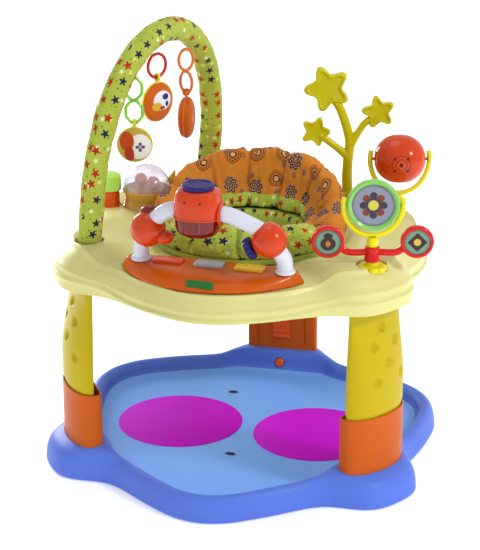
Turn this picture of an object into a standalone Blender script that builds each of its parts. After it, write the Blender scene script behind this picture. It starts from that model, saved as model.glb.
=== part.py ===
"""Baby activity center: a three-legged saucer with a swivel seat, tray toys and an arch of hanging toys.

Units are metres, +Z is up, and the child in the seat faces -Y. The origin is on the floor, under the
middle of the seat. Legs stand at 213, 327 and 90 degrees round the Z axis.
"""
import bmesh
import bpy
from math import atan2, cos, degrees, hypot, pi, radians, sin, sqrt
from mathutils import Matrix, Vector

# Clearances
TOUCH_GAP = 0.0003        # between pieces that rest on each other
RUN_GAP = 0.0006          # round pins, plungers and sliding pieces
SLIDE_GAP = 0.0010        # between a leg and the socket it slides in

# Overall layout: the saucer is laid out round its seat
SEAT_RADIUS = 0.1715
LEG_CIRCLE = SEAT_RADIUS + 0.1335
LEG_ANGLES = {"rear": 90.0, "left": 213.0, "right": 327.0}
HALF_FOLD = 60.0          # nominal angle from a leg to the middle of its neighbouring gap
LOBE_FOLD = 27.0          # the outline keeps its true angles this near to a leg
AROUND_FOLDS = (0.0, 7.0, 12.0, 16.0, 20.5, 27.0, 38.0, 49.0)   # facets of the base and the tray, by fold
HEIGHT_TRAVEL = 0.050     # the tray lifts by this much in its legs

# Legs
SOCKET_HALF_WIDTH = 0.0683    # orange leg sockets, square to the seat and bowed outward
SOCKET_OUTER_DEPTH = 0.0333
SOCKET_INNER_DEPTH = 0.0168
SOCKET_TUBE_WALL = 0.003
SOCKET_TUBE_TOP_Z = 0.153
LEG_HALF_WIDTH = 0.066        # yellow legs
LEG_INNER_DEPTH = 0.0015
LEG_OUTER_DEPTH = 0.0325
LEG_TOP_DEPTH = 0.013
LEG_WALL = 0.0035
LEG_INSERT_Z = 0.062
LEG_SIDES = 16
GROOVE_SPACING = 0.092
GROOVE_WIDTH = 0.004
DIMPLE_RADIUS = 0.0070
DIMPLE_DEPTH = 0.0018

# Base
BASE_LOBE = LEG_CIRCLE + 0.067
BASE_WAIST = LEG_CIRCLE + 0.005
BASE_NOSE = LEG_CIRCLE + 0.050
BASE_RIM_Z = 0.046
BASE_RIM_WIDTH = 0.034
BASE_FLOOR_Z = 0.018
BASE_FLOOR_WALL = 0.004
SOCKET_TOP_Z = 0.066
SOCKET_WALL = 0.017
SOCKET_SEAT_Z = 0.016
RIB_WIDTH = 0.004
HUB_RADIUS = 0.040
MAT_RADIUS = 0.114
MAT_SPREAD = 0.127
MAT_THICKNESS = 0.0022
MAT_RECESS = 0.0015
SLOT_SIZE = (0.006, 0.014)

# Lock buttons in the base and latches in the leg panels
BUTTON_RADIUS = 0.0085
BUTTON_Z = 0.036
BUTTON_PROUD = 0.0035
BUTTON_TRAVEL = 0.004
LATCH_WIDTH = 0.034
LATCH_LOW_Z = 0.080
LATCH_HIGH_Z = 0.138
LATCH_PLATE = 0.0025
LATCH_RIB_PROUD = 0.004
LATCH_RIBS = 5

# Tray
TRAY_LOBE = LEG_CIRCLE + 0.043
TRAY_WAIST = LEG_CIRCLE + 0.003
TRAY_NOSE = LEG_CIRCLE + 0.028
TRAY_SIDE_NOSE = LEG_CIRCLE + 0.016    # the nose on the ball toy's side is the least
TRAY_HOLE = SEAT_RADIUS - 0.0145
TRAY_WALL = 0.004
LEDGE_Z = 0.392
LEDGE_RADIUS = SEAT_RADIUS + 0.0045
COLLAR_DROP = 0.016
FRONT_Z = 0.388
DECK_Z = 0.405
LOBE_RISE = 0.007
RIDGE_Z = 0.352
RIDGE_RISE = 0.013
SKIRT_Z = 0.345
SKIRT_DROP = 0.003
EDGE_WIDTH = 0.027
LOBE_EDGE_WIDTH = 0.052
LEG_PAD_Z = 0.3805
HUMP_HEIGHT = 0.020
HUMP_ANGLE = 188.0
HUMP_SPREAD = 8.0
TOY_SEAT_Z = 0.401        # floor of the shallow round seats that hold the tray's toys

# Seat
SEAT_RING_BORE = SEAT_RADIUS - 0.0215
SEAT_RING_TOP = 0.400
SEAT_COLLAR_WALL = 0.0045
SEAT_SPLIT = 114.0        # half angle of the orange back, from straight behind the child
BACK_CREST_Z = 0.503
FRONT_CREST_Z = 0.446
CUSHION_INNER = SEAT_RADIUS - 0.0675
CUSHION_LIP_Z = 0.412
CHANNEL_PITCH = 19.0
CHANNEL_DEPTH = 0.14
SLING_WALL = 0.003
SLING_BOTTOM_Z = 0.262
LEG_HOLE_RADIUS = 0.040
LEG_HOLE_SPREAD = 0.050

# Console and toy bar
CONSOLE_TURN = -3.0
CONSOLE_TIP = 0.157
CONSOLE_BACK_Y = -(SEAT_RADIUS + 0.0245)
CONSOLE_TIP_Y = CONSOLE_BACK_Y - 0.016
CONSOLE_FRONT_Y = CONSOLE_BACK_Y - 0.110
CONSOLE_TOP_Z = 0.409
KEY_SIZE = (0.050, 0.026, 0.0075)
KEY_PITCH = 0.070
KEY_Y = CONSOLE_BACK_Y - 0.030
KEY_PROUD = 0.0045
KEY_TRAVEL = 0.0025
BAR_RADIUS = 0.0135
BAR_FLANGE = 0.007
BAR_FOOT_X = {"left": -0.117, "right": 0.130}
BAR_FOOT_Y = CONSOLE_BACK_Y - 0.032
BAR_BALL_X = {"left": -0.098, "right": 0.108}
BAR_BALL_Y = CONSOLE_BACK_Y - 0.050
BAR_BALL_Z = 0.469
BAR_BALL_RADIUS = 0.0295
BAR_TOP_Z = 0.507
BAR_TOP_Y = CONSOLE_BACK_Y - 0.054
HEAD_X = -0.010
HEAD_HALF = (0.039, 0.034, 0.040)
HAT_RADIUS = 0.027
HAT_HEIGHT = 0.008
KNOB_RADIUS = 0.019
KNOB_THICKNESS = 0.012

# Spinner station
CAMERA_SIDE_TURN = 13.0   # the tray toys face this way, degrees from straight ahead
SPINNER_X = SEAT_RADIUS + 0.0775
SPINNER_Y = -0.166
SPINNER_SHOULDER_Z = 0.4175
SPINNER_PIN_RADIUS = 0.006
SPINNER_PIN_TOP = 0.4515
HUB_HEIGHT = 0.0245
HUB_OUTER = 0.0125
DISC_REACH = 0.073
DISC_RADIUS = 0.0275
DISC_THICKNESS = 0.013
DISC_RISE = 0.018
MIRROR_Z = 0.513
MIRROR_RADIUS = 0.0435
MIRROR_BORE = 0.035
MIRROR_THICKNESS = 0.013
YOKE_ROD = 0.004
MIRROR_YOKE_X = 0.0485
MIRROR_YOKE_DROP = 0.0525
FACE_THICKNESS = 0.0025

# Flip ball
BALL_X = SEAT_RADIUS + 0.0745
BALL_Y = 0.133
BALL_Z = 0.507
BALL_RADIUS = 0.0435
BALL_HALF = 0.0455
BALL_YOKE_X = 0.0525
BALL_YOKE_DROP = 0.063
PIVOT_RADIUS = 0.0026

# Star tree
TREE_X = 0.144
TREE_Y = SEAT_RADIUS + 0.0165
TREE_BALL_RADIUS = 0.0125
TREE_TRUNK = 0.0100
TREE_BRANCH = 0.0068

# Music toy
MUSIC_X = -(SEAT_RADIUS + 0.036)
MUSIC_Y = 0.082
MUSIC_BASE_TOP = 0.4375
DOME_RADIUS = 0.043
DOME_WALL = 0.0016
PLUNGER_X = MUSIC_X - 0.0645
PLUNGER_Y = 0.066
PLUNGER_CAP_RADIUS = 0.020
PLUNGER_BODY_RADIUS = 0.0165
PLUNGER_TOP_Z = 0.464
PLUNGER_CAP_HEIGHT = 0.030
PLUNGER_TRAVEL = 0.008

# Arch
ARCH_FRONT = (-(SEAT_RADIUS + 0.0705), -0.153)
ARCH_REAR = (-0.134, SEAT_RADIUS + 0.0535)
ARCH_STRAIGHT = 0.082
ARCH_RISE = 0.260
ARCH_POWER = 2.10
ARCH_LEAN = 0.105
ARCH_SLEEVE_RADIUS = 0.0215
ARCH_FRAME_RADIUS = 0.0095
LOOP_ROD = 0.0018
LOOP_HALF = 0.0065
LINK_ROD = 0.003

SIDES = {"left": -1, "right": 1}

COLOURS = {
    "base_blue": (92, 128, 214), "magenta": (200, 28, 214), "leg_orange": (214, 110, 28),
    "leg_yellow": (227, 205, 42), "button_orange": (226, 84, 22), "cream": (235, 232, 168),
    "console_orange": (238, 128, 40), "key_red": (222, 62, 28), "key_grey": (172, 172, 176),
    "key_yellow": (244, 196, 40), "bar_white": (236, 236, 242), "toy_orange": (226, 72, 20),
    "dark_red": (120, 16, 12), "toy_blue": (38, 34, 110), "toy_red": (214, 20, 22),
    "lime": (150, 214, 62), "toy_yellow": (238, 224, 30), "face_white": (206, 206, 214),
    "music_amber": (178, 128, 32), "clear": (214, 214, 226), "popper_pink": (238, 150, 130),
    "seat_orange": (236, 140, 44), "seat_green": (176, 200, 72), "arch_green": (176, 200, 84),
    "frame_grey": (150, 150, 150), "plush_lime": (214, 214, 84), "plush_orange": (232, 116, 30),
}
ROUGHNESS = {"seat_orange": 0.9, "seat_green": 0.9, "arch_green": 0.9, "plush_lime": 0.9,
             "plush_orange": 0.9, "clear": 0.08, "cream": 0.42, "base_blue": 0.48}


# General helpers

def clear_scene():
    for obj in list(bpy.data.objects):
        bpy.data.objects.remove(obj, do_unlink=True)


def make_collection(name):
    collection = bpy.data.collections.new(name)
    bpy.context.scene.collection.children.link(collection)
    return collection


clear_scene()
MODEL = make_collection("baby_activity_center")
CUTTERS = make_collection("cutters")


def smooth(low, high, value):
    share = min(max((value - low) / (high - low), 0.0), 1.0)
    return share * share * (3.0 - 2.0 * share)


def mix(first, second, share):
    return first + (second - first) * share


def through(knots, value):
    """A smooth curve through (position, value) knots, level at both ends."""
    if value <= knots[0][0]:
        return knots[0][1]
    if value >= knots[-1][0]:
        return knots[-1][1]
    slopes = [0.0]
    for before, after in zip(knots, knots[2:]):
        slopes.append((after[1] - before[1]) / (after[0] - before[0]))
    slopes.append(0.0)
    index = max(i for i, knot in enumerate(knots[:-1]) if knot[0] <= value)
    (x0, y0), (x1, y1) = knots[index], knots[index + 1]
    span = x1 - x0
    t = (value - x0) / span
    return ((2 * t ** 3 - 3 * t ** 2 + 1) * y0 + (t ** 3 - 2 * t ** 2 + t) * span * slopes[index]
            + (3 * t ** 2 - 2 * t ** 3) * y1 + (t ** 3 - t ** 2) * span * slopes[index + 1])


def polar(radius, angle, z=0.0):
    return Vector((radius * cos(radians(angle)), radius * sin(radians(angle)), z))


def linear(channel):
    share = channel / 255.0
    return share / 12.92 if share <= 0.04045 else ((share + 0.055) / 1.055) ** 2.4


def material(slot):
    if slot in bpy.data.materials:
        return bpy.data.materials[slot]
    made = bpy.data.materials.new(slot)
    made.use_nodes = True
    shader = made.node_tree.nodes["Principled BSDF"]
    shader.inputs["Base Color"].default_value = (*[linear(c) for c in COLOURS[slot]], 1.0)
    shader.inputs["Roughness"].default_value = ROUGHNESS.get(slot, 0.35)
    shader.inputs["Metallic"].default_value = 0.0
    if slot == "clear":
        shader.inputs["Transmission Weight"].default_value = 0.9
    return made


def add(name, mesh, slot, parent=None, pivot=(0, 0, 0)):
    """A named piece whose origin is at its pivot; the mesh is given in its parent's space."""
    mesh.name = name
    mesh.transform(Matrix.Translation(-Vector(pivot)))
    obj = bpy.data.objects.new(name, mesh)
    obj.location = pivot
    obj.parent = parent
    MODEL.objects.link(obj)
    mesh.materials.clear()
    mesh.materials.append(material(slot))
    mesh.shade_smooth()
    mesh.set_sharp_from_angle(angle=radians(38))
    return obj


def add_cutter(name, mesh, parent=None):
    obj = bpy.data.objects.new(name, mesh)
    obj.parent = parent
    obj.hide_render = True
    obj.display_type = "WIRE"
    CUTTERS.objects.link(obj)
    return obj


def station(name, location, turn):
    empty = bpy.data.objects.new(name, None)
    empty.location = location
    empty.rotation_euler = (0, 0, radians(turn))
    CUTTERS.objects.link(empty)
    return empty


def boolean(obj, cutter, operation):
    modifier = obj.modifiers.new(operation.lower(), "BOOLEAN")
    modifier.operation = operation
    modifier.solver = "EXACT"
    modifier.object = cutter


def cut(obj, *meshes, parent=None):
    for index, mesh in enumerate(meshes):
        boolean(obj, add_cutter(f"{obj.name}_cut_{index}", mesh, parent or obj.parent), "DIFFERENCE")


def fuse(obj, *meshes):
    for index, mesh in enumerate(meshes):
        boolean(obj, add_cutter(f"{obj.name}_join_{index}", mesh, obj.parent), "UNION")


def round_edges(obj, width, segments=2, angle=40.0):
    modifier = obj.modifiers.new("rounded edges", "BEVEL")
    modifier.width = width
    modifier.segments = segments
    modifier.limit_method = "ANGLE"
    modifier.angle_limit = radians(angle)


def baked(obj):
    """The object's mesh with its modifiers applied, for pieces that repeat."""
    bpy.context.view_layer.update()
    graph = bpy.context.evaluated_depsgraph_get()
    mesh = bpy.data.meshes.new_from_object(obj.evaluated_get(graph))
    bpy.data.objects.remove(obj, do_unlink=True)
    return mesh


def face_out(bm):
    bmesh.ops.recalc_face_normals(bm, faces=bm.faces)
    if bm.calc_volume(signed=True) < 0:
        bmesh.ops.reverse_faces(bm, faces=bm.faces)
    mesh = bpy.data.meshes.new("shape")
    bm.to_mesh(mesh)
    bm.free()
    return mesh


def skin(loops, ring=False):
    """A loft through loops of points; a ring joins the last loop to the first, else both ends are capped."""
    bm = bmesh.new()
    rows = [[bm.verts.new(point) for point in loop] for loop in loops]
    spans = list(zip(rows, rows[1:]))
    if ring:
        spans.append((rows[-1], rows[0]))
    for low, high in spans:
        for i in range(len(low)):
            j = (i + 1) % len(low)
            bm.faces.new((low[i], low[j], high[j], high[i]))
    if not ring:
        bm.faces.new(rows[0])
        bm.faces.new(rows[-1])
    return face_out(bm)


def moved(mesh, matrix):
    mesh.transform(matrix)
    return mesh


def box(size, centre=(0, 0, 0)):
    bm = bmesh.new()
    bmesh.ops.create_cube(bm, size=1.0)
    bmesh.ops.scale(bm, vec=size, verts=bm.verts)
    bmesh.ops.translate(bm, vec=centre, verts=bm.verts)
    return face_out(bm)


def rod(radius, start, end, sides=16, end_radius=None):
    """A round rod from one point to another."""
    start, end = Vector(start), Vector(end)
    bm = bmesh.new()
    top = radius if end_radius is None else end_radius
    bmesh.ops.create_cone(bm, cap_ends=True, segments=sides, radius1=radius, radius2=top,
                          depth=(end - start).length)
    turn = (end - start).to_track_quat("Z", "Y").to_matrix().to_4x4()
    bm.transform(Matrix.Translation((start + end) / 2) @ turn)
    return face_out(bm)


def ball(radius, centre, sides=16, rows=10, scale=(1, 1, 1)):
    bm = bmesh.new()
    bmesh.ops.create_uvsphere(bm, u_segments=sides, v_segments=rows, radius=radius)
    bmesh.ops.scale(bm, vec=scale, verts=bm.verts)
    bmesh.ops.translate(bm, vec=centre, verts=bm.verts)
    return face_out(bm)


def turned(profile, steps=24, closed=False):
    """A turned shape from (radius, height) points, listed down its outer side."""
    mesh = bpy.data.meshes.new("profile")
    points = [(radius, 0.0, z) for radius, z in profile]
    edges = [(i, i + 1) for i in range(len(points) - 1)]
    if closed:
        edges.append((len(points) - 1, 0))
    mesh.from_pydata(points, edges, [])
    obj = bpy.data.objects.new("turned", mesh)
    CUTTERS.objects.link(obj)
    screw = obj.modifiers.new("turn", "SCREW")
    screw.steps = steps
    screw.render_steps = steps
    screw.use_merge_vertices = True
    screw.merge_threshold = 0.00001
    bm = bmesh.new()
    bm.from_mesh(baked(obj))
    return face_out(bm)


def tube(points, radius, resolution=2, radii=None, cyclic=False):
    """A round tube along points; radii scales it at each point."""
    curve = bpy.data.curves.new("tube", "CURVE")
    curve.dimensions = "3D"
    curve.bevel_depth = radius
    curve.bevel_resolution = resolution
    curve.use_fill_caps = not cyclic
    spline = curve.splines.new("POLY")
    spline.points.add(len(points) - 1)
    for index, point in enumerate(points):
        spline.points[index].co = (*point, 1.0)
        spline.points[index].radius = radii[index] if radii else 1.0
    spline.use_cyclic_u = cyclic
    obj = bpy.data.objects.new("tube", curve)
    CUTTERS.objects.link(obj)
    bm = bmesh.new()
    bm.from_mesh(baked(obj))
    bmesh.ops.remove_doubles(bm, verts=bm.verts, dist=0.00001)
    return face_out(bm)


def slab(outline, low, high):
    """A flat outline in X and Y, raised from one height to another."""
    curve = bpy.data.curves.new("slab", "CURVE")
    curve.dimensions = "2D"
    curve.fill_mode = "BOTH"
    curve.extrude = (high - low) / 2
    spline = curve.splines.new("POLY")
    spline.points.add(len(outline) - 1)
    for index, point in enumerate(outline):
        spline.points[index].co = (point[0], point[1], 0.0, 1.0)
    spline.use_cyclic_u = True
    obj = bpy.data.objects.new("slab", curve)
    CUTTERS.objects.link(obj)
    bm = bmesh.new()
    bm.from_mesh(baked(obj))
    bmesh.ops.remove_doubles(bm, verts=bm.verts, dist=0.00001)
    bmesh.ops.translate(bm, vec=(0, 0, (high + low) / 2), verts=bm.verts)
    return face_out(bm)


def rounded_rectangle(width, depth, corner, steps=2):
    points = []
    for quarter, (side_x, side_y) in enumerate(((1, 1), (-1, 1), (-1, -1), (1, -1))):
        for step in range(steps + 1):
            angle = pi / 2 * (quarter + step / steps)
            points.append((side_x * (width / 2 - corner) + corner * cos(angle),
                           side_y * (depth / 2 - corner) + corner * sin(angle)))
    return points


# Outlines shared by the base, the legs and the tray

def leg_gaps():
    """Pairs of neighbouring legs as (first angle, half the angle between them)."""
    angles = sorted(LEG_ANGLES.values())
    following = angles[1:] + [angles[0] + 360.0]
    return [(first, (second - first) / 2) for first, second in zip(angles, following)]


def fold_angle(angle):
    """Angle from the nearest leg, 0 at a leg and HALF_FOLD midway between two."""
    for first, half in leg_gaps():
        along = (angle - first) % 360.0
        if along <= 2 * half:
            away = min(along, 2 * half - along)
            if away <= LOBE_FOLD:
                return away
            return LOBE_FOLD + (away - LOBE_FOLD) * (HALF_FOLD - LOBE_FOLD) / (half - LOBE_FOLD)
    return 0.0


def unfold(fold, half):
    if fold <= LOBE_FOLD:
        return fold
    return LOBE_FOLD + (fold - LOBE_FOLD) * (half - LOBE_FOLD) / (HALF_FOLD - LOBE_FOLD)


def around_angles():
    """Angles of the loft's points round the base and the tray, closest together at the lobes' corners."""
    angles = []
    for first, half in leg_gaps():
        angles += [first + unfold(fold, half) for fold in (*AROUND_FOLDS, HALF_FOLD)]
        angles += [first + 2 * half - unfold(fold, half) for fold in AROUND_FOLDS[:0:-1]]
    return angles


CORNER_ANGLE = degrees(atan2(SOCKET_HALF_WIDTH + 0.024, LEG_CIRCLE))


def lobed_radius(angle, lobe, waist, nose):
    half = HALF_FOLD
    rise = nose - waist
    drop = waist - lobe
    knots = [(0.0, lobe), (0.36 * CORNER_ANGLE, lobe + 0.03 * drop), (0.62 * CORNER_ANGLE, lobe + 0.22 * drop),
             (0.84 * CORNER_ANGLE, lobe + 0.58 * drop), (1.08 * CORNER_ANGLE, lobe + 0.89 * drop),
             (1.40 * CORNER_ANGLE, waist), (1.85 * CORNER_ANGLE, waist + 0.10 * rise),
             (0.72 * half, waist + 0.48 * rise), (0.86 * half, waist + 0.84 * rise), (half, nose)]
    return through(knots, fold_angle(angle))


def leg_outer_depth(z):
    foot, head = LEG_OUTER_DEPTH, LEG_TOP_DEPTH
    knots = [(0.20, foot), (0.235, mix(head, foot, 0.92)), (0.265, mix(head, foot, 0.60)),
             (0.295, mix(head, foot, 0.26)), (0.32, head)]
    return through(knots, z)


def leg_half_width(z):
    return LEG_HALF_WIDTH * mix(1.0, 0.87, smooth(0.20, 0.35, z))


def leg_inner_depth(z):
    return LEG_INNER_DEPTH + 0.0055 * smooth(0.18, 0.34, z)


def d_section(z, half_width, outer_depth, inner_depth, sides=LEG_SIDES):
    """A leg's section: flat towards the seat, bowed outward. Local +X points away from the seat."""
    loop = []
    for step in range(sides):
        angle = 2 * pi * (step + 0.5) / sides
        c, s = cos(angle), sin(angle)
        power = 1.0 if c > 0 else 2 / 7.0
        depth = outer_depth if c > 0 else inner_depth
        x = depth * abs(c) ** power * (1 if c > 0 else -1)
        y = half_width * abs(s) ** power * (1 if s > 0 else -1)
        loop.append((x, y, z))
    return loop


def leg_loop(z, offset=0.0):
    return d_section(z, leg_half_width(z) + offset, leg_outer_depth(z) + offset, leg_inner_depth(z) + offset)


def insert_loop(z, offset=0.0):
    """The part of the yellow leg that slides in its socket."""
    shrink = SOCKET_TUBE_WALL + SLIDE_GAP - offset
    return d_section(z, SOCKET_HALF_WIDTH - shrink, SOCKET_OUTER_DEPTH - shrink, LEG_INNER_DEPTH + offset)


def leg_station(side):
    return station(f"leg_place_{side}", polar(LEG_CIRCLE, LEG_ANGLES[side]), LEG_ANGLES[side])


# Base

def base_floor_radius(angle):
    """Foot of the pan's inner wall; flat in front of each leg socket."""
    plain = lobed_radius(angle, BASE_WAIST, BASE_WAIST, BASE_NOSE) - BASE_RIM_WIDTH
    fold = fold_angle(angle)
    flat = (LEG_CIRCLE - SOCKET_INNER_DEPTH - SOCKET_WALL) / cos(radians(min(fold, 40.0)))
    return mix(flat, plain, smooth(0.95 * CORNER_ANGLE, 1.45 * CORNER_ANGLE, fold))


def build_base():
    def loop(radius_of, z_of):
        return [polar(radius_of(a), a, z_of(a)) for a in around_angles()]

    def lobe(angle):
        return 1 - smooth(0.75 * CORNER_ANGLE, 1.6 * CORNER_ANGLE, fold_angle(angle))

    def outer(angle):
        return lobed_radius(angle, BASE_LOBE, BASE_WAIST, BASE_NOSE)

    crest = SOCKET_TOP_Z - BASE_RIM_Z
    loops = [
        loop(lambda a: outer(a) - 0.003, lambda a: 0.0),
        loop(outer, lambda a: 0.004),
        loop(lambda a: outer(a) - 0.002, lambda a: 0.026),
        loop(lambda a: outer(a) - 0.006, lambda a: 0.037),
        loop(lambda a: outer(a) - 0.013, lambda a: BASE_RIM_Z - 0.002 + 0.1 * crest * lobe(a)),
        loop(lambda a: mix(outer(a), base_floor_radius(a), mix(0.55, 0.30, lobe(a))),
             lambda a: BASE_RIM_Z + 0.45 * crest * lobe(a)),
        loop(lambda a: base_floor_radius(a) + 0.008, lambda a: BASE_RIM_Z - 0.003 + crest * lobe(a)),
        loop(lambda a: base_floor_radius(a) + 0.003, lambda a: BASE_RIM_Z - 0.009 + crest * lobe(a)),
        loop(base_floor_radius, lambda a: BASE_FLOOR_Z + 0.008),
        loop(lambda a: base_floor_radius(a) - 0.006, lambda a: BASE_FLOOR_Z),
    ]
    base = add("base_pan", skin(loops), "base_blue")

    recess_top = BASE_FLOOR_Z - BASE_FLOOR_WALL
    recess = add_cutter("base_underside", rod(BASE_WAIST - BASE_RIM_WIDTH - 0.022, (0, 0, -0.01), (0, 0, recess_top), 36))
    ribs = [rod(HUB_RADIUS, (0, 0, -0.02), (0, 0, BASE_FLOOR_Z), 20)]
    for spoke in range(3):
        arm = box((2 * BASE_NOSE, RIB_WIDTH, 2 * BASE_FLOOR_Z))
        ribs.append(moved(arm, Matrix.Rotation(radians(30 + 60 * spoke), 4, "Z")))
    for index, rib in enumerate(ribs):
        boolean(recess, add_cutter(f"base_rib_{index}", rib), "DIFFERENCE")
    boolean(base, recess, "DIFFERENCE")

    for side in LEG_ANGLES:
        place = leg_station(side)
        socket = skin([d_section(z, SOCKET_HALF_WIDTH + RUN_GAP, SOCKET_OUTER_DEPTH + RUN_GAP,
                                 SOCKET_INNER_DEPTH + RUN_GAP) for z in (SOCKET_SEAT_Z, 2 * SOCKET_TOP_Z)])
        inside = -SOCKET_INNER_DEPTH - SOCKET_WALL
        hole = rod(BUTTON_RADIUS + RUN_GAP, (inside - 0.02, 0, BUTTON_Z), (inside + 0.03, 0, BUTTON_Z), 14)
        cut(base, socket, hole, parent=place)
    mats = [rod(MAT_RADIUS + RUN_GAP, (s * MAT_SPREAD, 0, BASE_FLOOR_Z - MAT_RECESS),
                (s * MAT_SPREAD, 0, 2 * BASE_FLOOR_Z), 36) for s in (-1, 1)]
    slots = [box((*SLOT_SIZE, 0.05), (0, y, BASE_FLOOR_Z)) for y in (-0.118, 0.118)]
    cut(base, *mats, *slots)


def build_foot_mats():
    for name, s in (("left", -1), ("right", 1)):
        low = BASE_FLOOR_Z - MAT_RECESS + TOUCH_GAP
        high = low + MAT_THICKNESS
        profile = [(0, high), (MAT_RADIUS - 0.001, high), (MAT_RADIUS, high - 0.001), (MAT_RADIUS, low), (0, low)]
        mesh = moved(turned(profile, 36), Matrix.Translation((s * MAT_SPREAD, 0, 0)))
        add(f"foot_mat_{name}", mesh, "magenta")


# Legs

def leg_dimples():
    """Round thumb-print hollows over the bowed face: (share of the half width, height)."""
    places = ((0.02, 0.306), (0.48, 0.278), (-0.36, 0.276), (0.10, 0.246), (0.62, 0.218), (-0.34, 0.214))
    dimples = []
    for share, z in places:
        half, depth = leg_half_width(z), leg_outer_depth(z)
        surface = Vector((depth * sqrt(1 - share ** 2), share * half, z))
        rise = (leg_outer_depth(z + 0.01) - leg_outer_depth(z - 0.01)) / 0.02
        normal = Vector((surface.x / depth ** 2, surface.y / half ** 2, -rise / depth)).normalized()
        dish = turned([(0, 4 * DIMPLE_DEPTH), (1.5 * DIMPLE_RADIUS, 4 * DIMPLE_DEPTH), (1.5 * DIMPLE_RADIUS, DIMPLE_DEPTH),
                       (DIMPLE_RADIUS, 0.0), (0.6 * DIMPLE_RADIUS, -0.66 * DIMPLE_DEPTH), (0, -DIMPLE_DEPTH)], 12)
        dish.transform(Matrix.Translation(surface) @ normal.to_track_quat("Z", "Y").to_matrix().to_4x4())
        dimples.append(dish)
    return dimples


def build_legs():
    low = SOCKET_SEAT_Z + TOUCH_GAP
    section = (SOCKET_HALF_WIDTH, SOCKET_OUTER_DEPTH, SOCKET_INNER_DEPTH)
    inner = [size - SOCKET_TUBE_WALL for size in section]
    top = SOCKET_TUBE_TOP_Z
    shell = skin([d_section(low, *section), d_section(top, *section), d_section(top, *inner), d_section(low, *inner)],
                 ring=True)
    socket = add("socket_pattern", shell, "leg_orange")
    window_height = LATCH_HIGH_Z - LATCH_LOW_Z + 2 * RUN_GAP
    window = box((0.02, LATCH_WIDTH + 2 * RUN_GAP, window_height),
                 (-SOCKET_INNER_DEPTH, 0, (LATCH_LOW_Z + LATCH_HIGH_Z) / 2))
    hole = rod(BUTTON_RADIUS + 2 * RUN_GAP, (-0.06, 0, BUTTON_Z), (0, 0, BUTTON_Z), 14)
    groove_low, groove_high = SOCKET_TOP_Z + 0.004, SOCKET_TUBE_TOP_Z + 0.01
    grooves = [box((0.0024, GROOVE_WIDTH, groove_high - groove_low),
                   (-SOCKET_INNER_DEPTH, s * GROOVE_SPACING / 2, (groove_low + groove_high) / 2)) for s in (-1, 1)]
    cut(socket, window, hole, *grooves)
    socket_mesh = baked(socket)

    shoulder = SOCKET_TUBE_TOP_Z + 0.0025
    leg_top = LEG_PAD_Z - TOUCH_GAP
    outside = [insert_loop(LEG_INSERT_Z), insert_loop(shoulder)]
    outside += [leg_loop(z) for z in (shoulder + 0.010, 0.195, 0.225, 0.250, 0.275, 0.300, 0.325, leg_top)]
    inside = [leg_loop(z, -LEG_WALL) for z in (leg_top, 0.325, 0.285, 0.245, 0.195)]
    inside += [insert_loop(shoulder, -LEG_WALL), insert_loop(LEG_INSERT_Z, -LEG_WALL)]
    leg = add("leg_pattern", skin(outside + inside, ring=True), "leg_yellow")
    cut(leg, *leg_dimples())
    leg_mesh = baked(leg)

    for side in LEG_ANGLES:
        place = leg_station(side)
        add(f"leg_socket_{side}", socket_mesh.copy(), "leg_orange", place)
        add(f"leg_{side}", leg_mesh.copy(), "leg_yellow", place)


def build_lock_buttons():
    low = -SOCKET_INNER_DEPTH - SOCKET_WALL - BUTTON_PROUD
    high = -SOCKET_INNER_DEPTH + SOCKET_TUBE_WALL
    profile = [(0, high), (BUTTON_RADIUS, high), (BUTTON_RADIUS, low + 0.0015), (BUTTON_RADIUS - 0.0015, low), (0, low)]
    button = moved(turned(profile, 14), Matrix.Rotation(pi / 2, 4, "Y"))
    button.transform(Matrix.Translation((0, 0, BUTTON_Z)))
    for side in LEG_ANGLES:
        add(f"lock_button_{side}", button.copy(), "button_orange", leg_station(side), (low, 0, BUTTON_Z))


def build_latches():
    """A ribbed thumb latch that fills the window in each leg socket's inner face."""
    back = -SOCKET_INNER_DEPTH + SOCKET_TUBE_WALL + 0.001
    front = -SOCKET_INNER_DEPTH + 0.0005
    height = LATCH_HIGH_Z - LATCH_LOW_Z
    outline = [(back, LATCH_LOW_Z), (front, LATCH_LOW_Z)]
    pitch = height / LATCH_RIBS
    for rib in range(LATCH_RIBS):
        low = LATCH_LOW_Z + rib * pitch
        for share, proud in ((0.20, 0.0), (0.42, 1.0), (0.62, 1.0), (0.84, 0.0)):
            outline.append((front - proud * LATCH_RIB_PROUD, low + share * pitch))
    outline += [(front, LATCH_HIGH_Z), (back, LATCH_HIGH_Z)]
    half = LATCH_WIDTH / 2
    latch = moved(slab(outline, -half, half), Matrix.Rotation(pi / 2, 4, "X"))
    for side in LEG_ANGLES:
        add(f"height_latch_{side}", latch.copy(), "button_orange", leg_station(side), (front, 0, LATCH_LOW_Z))


# Tray

def console_share(angle):
    """1 where the tray is flat for the console, 0 elsewhere."""
    away = abs((angle - (270.0 + CONSOLE_TURN) + 180) % 360 - 180)
    return 1 - smooth(40.5, 47.0, away)


def lobe_share(angle):
    return 1 - smooth(0.5 * CORNER_ANGLE, 2.0 * CORNER_ANGLE, fold_angle(angle))


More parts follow.
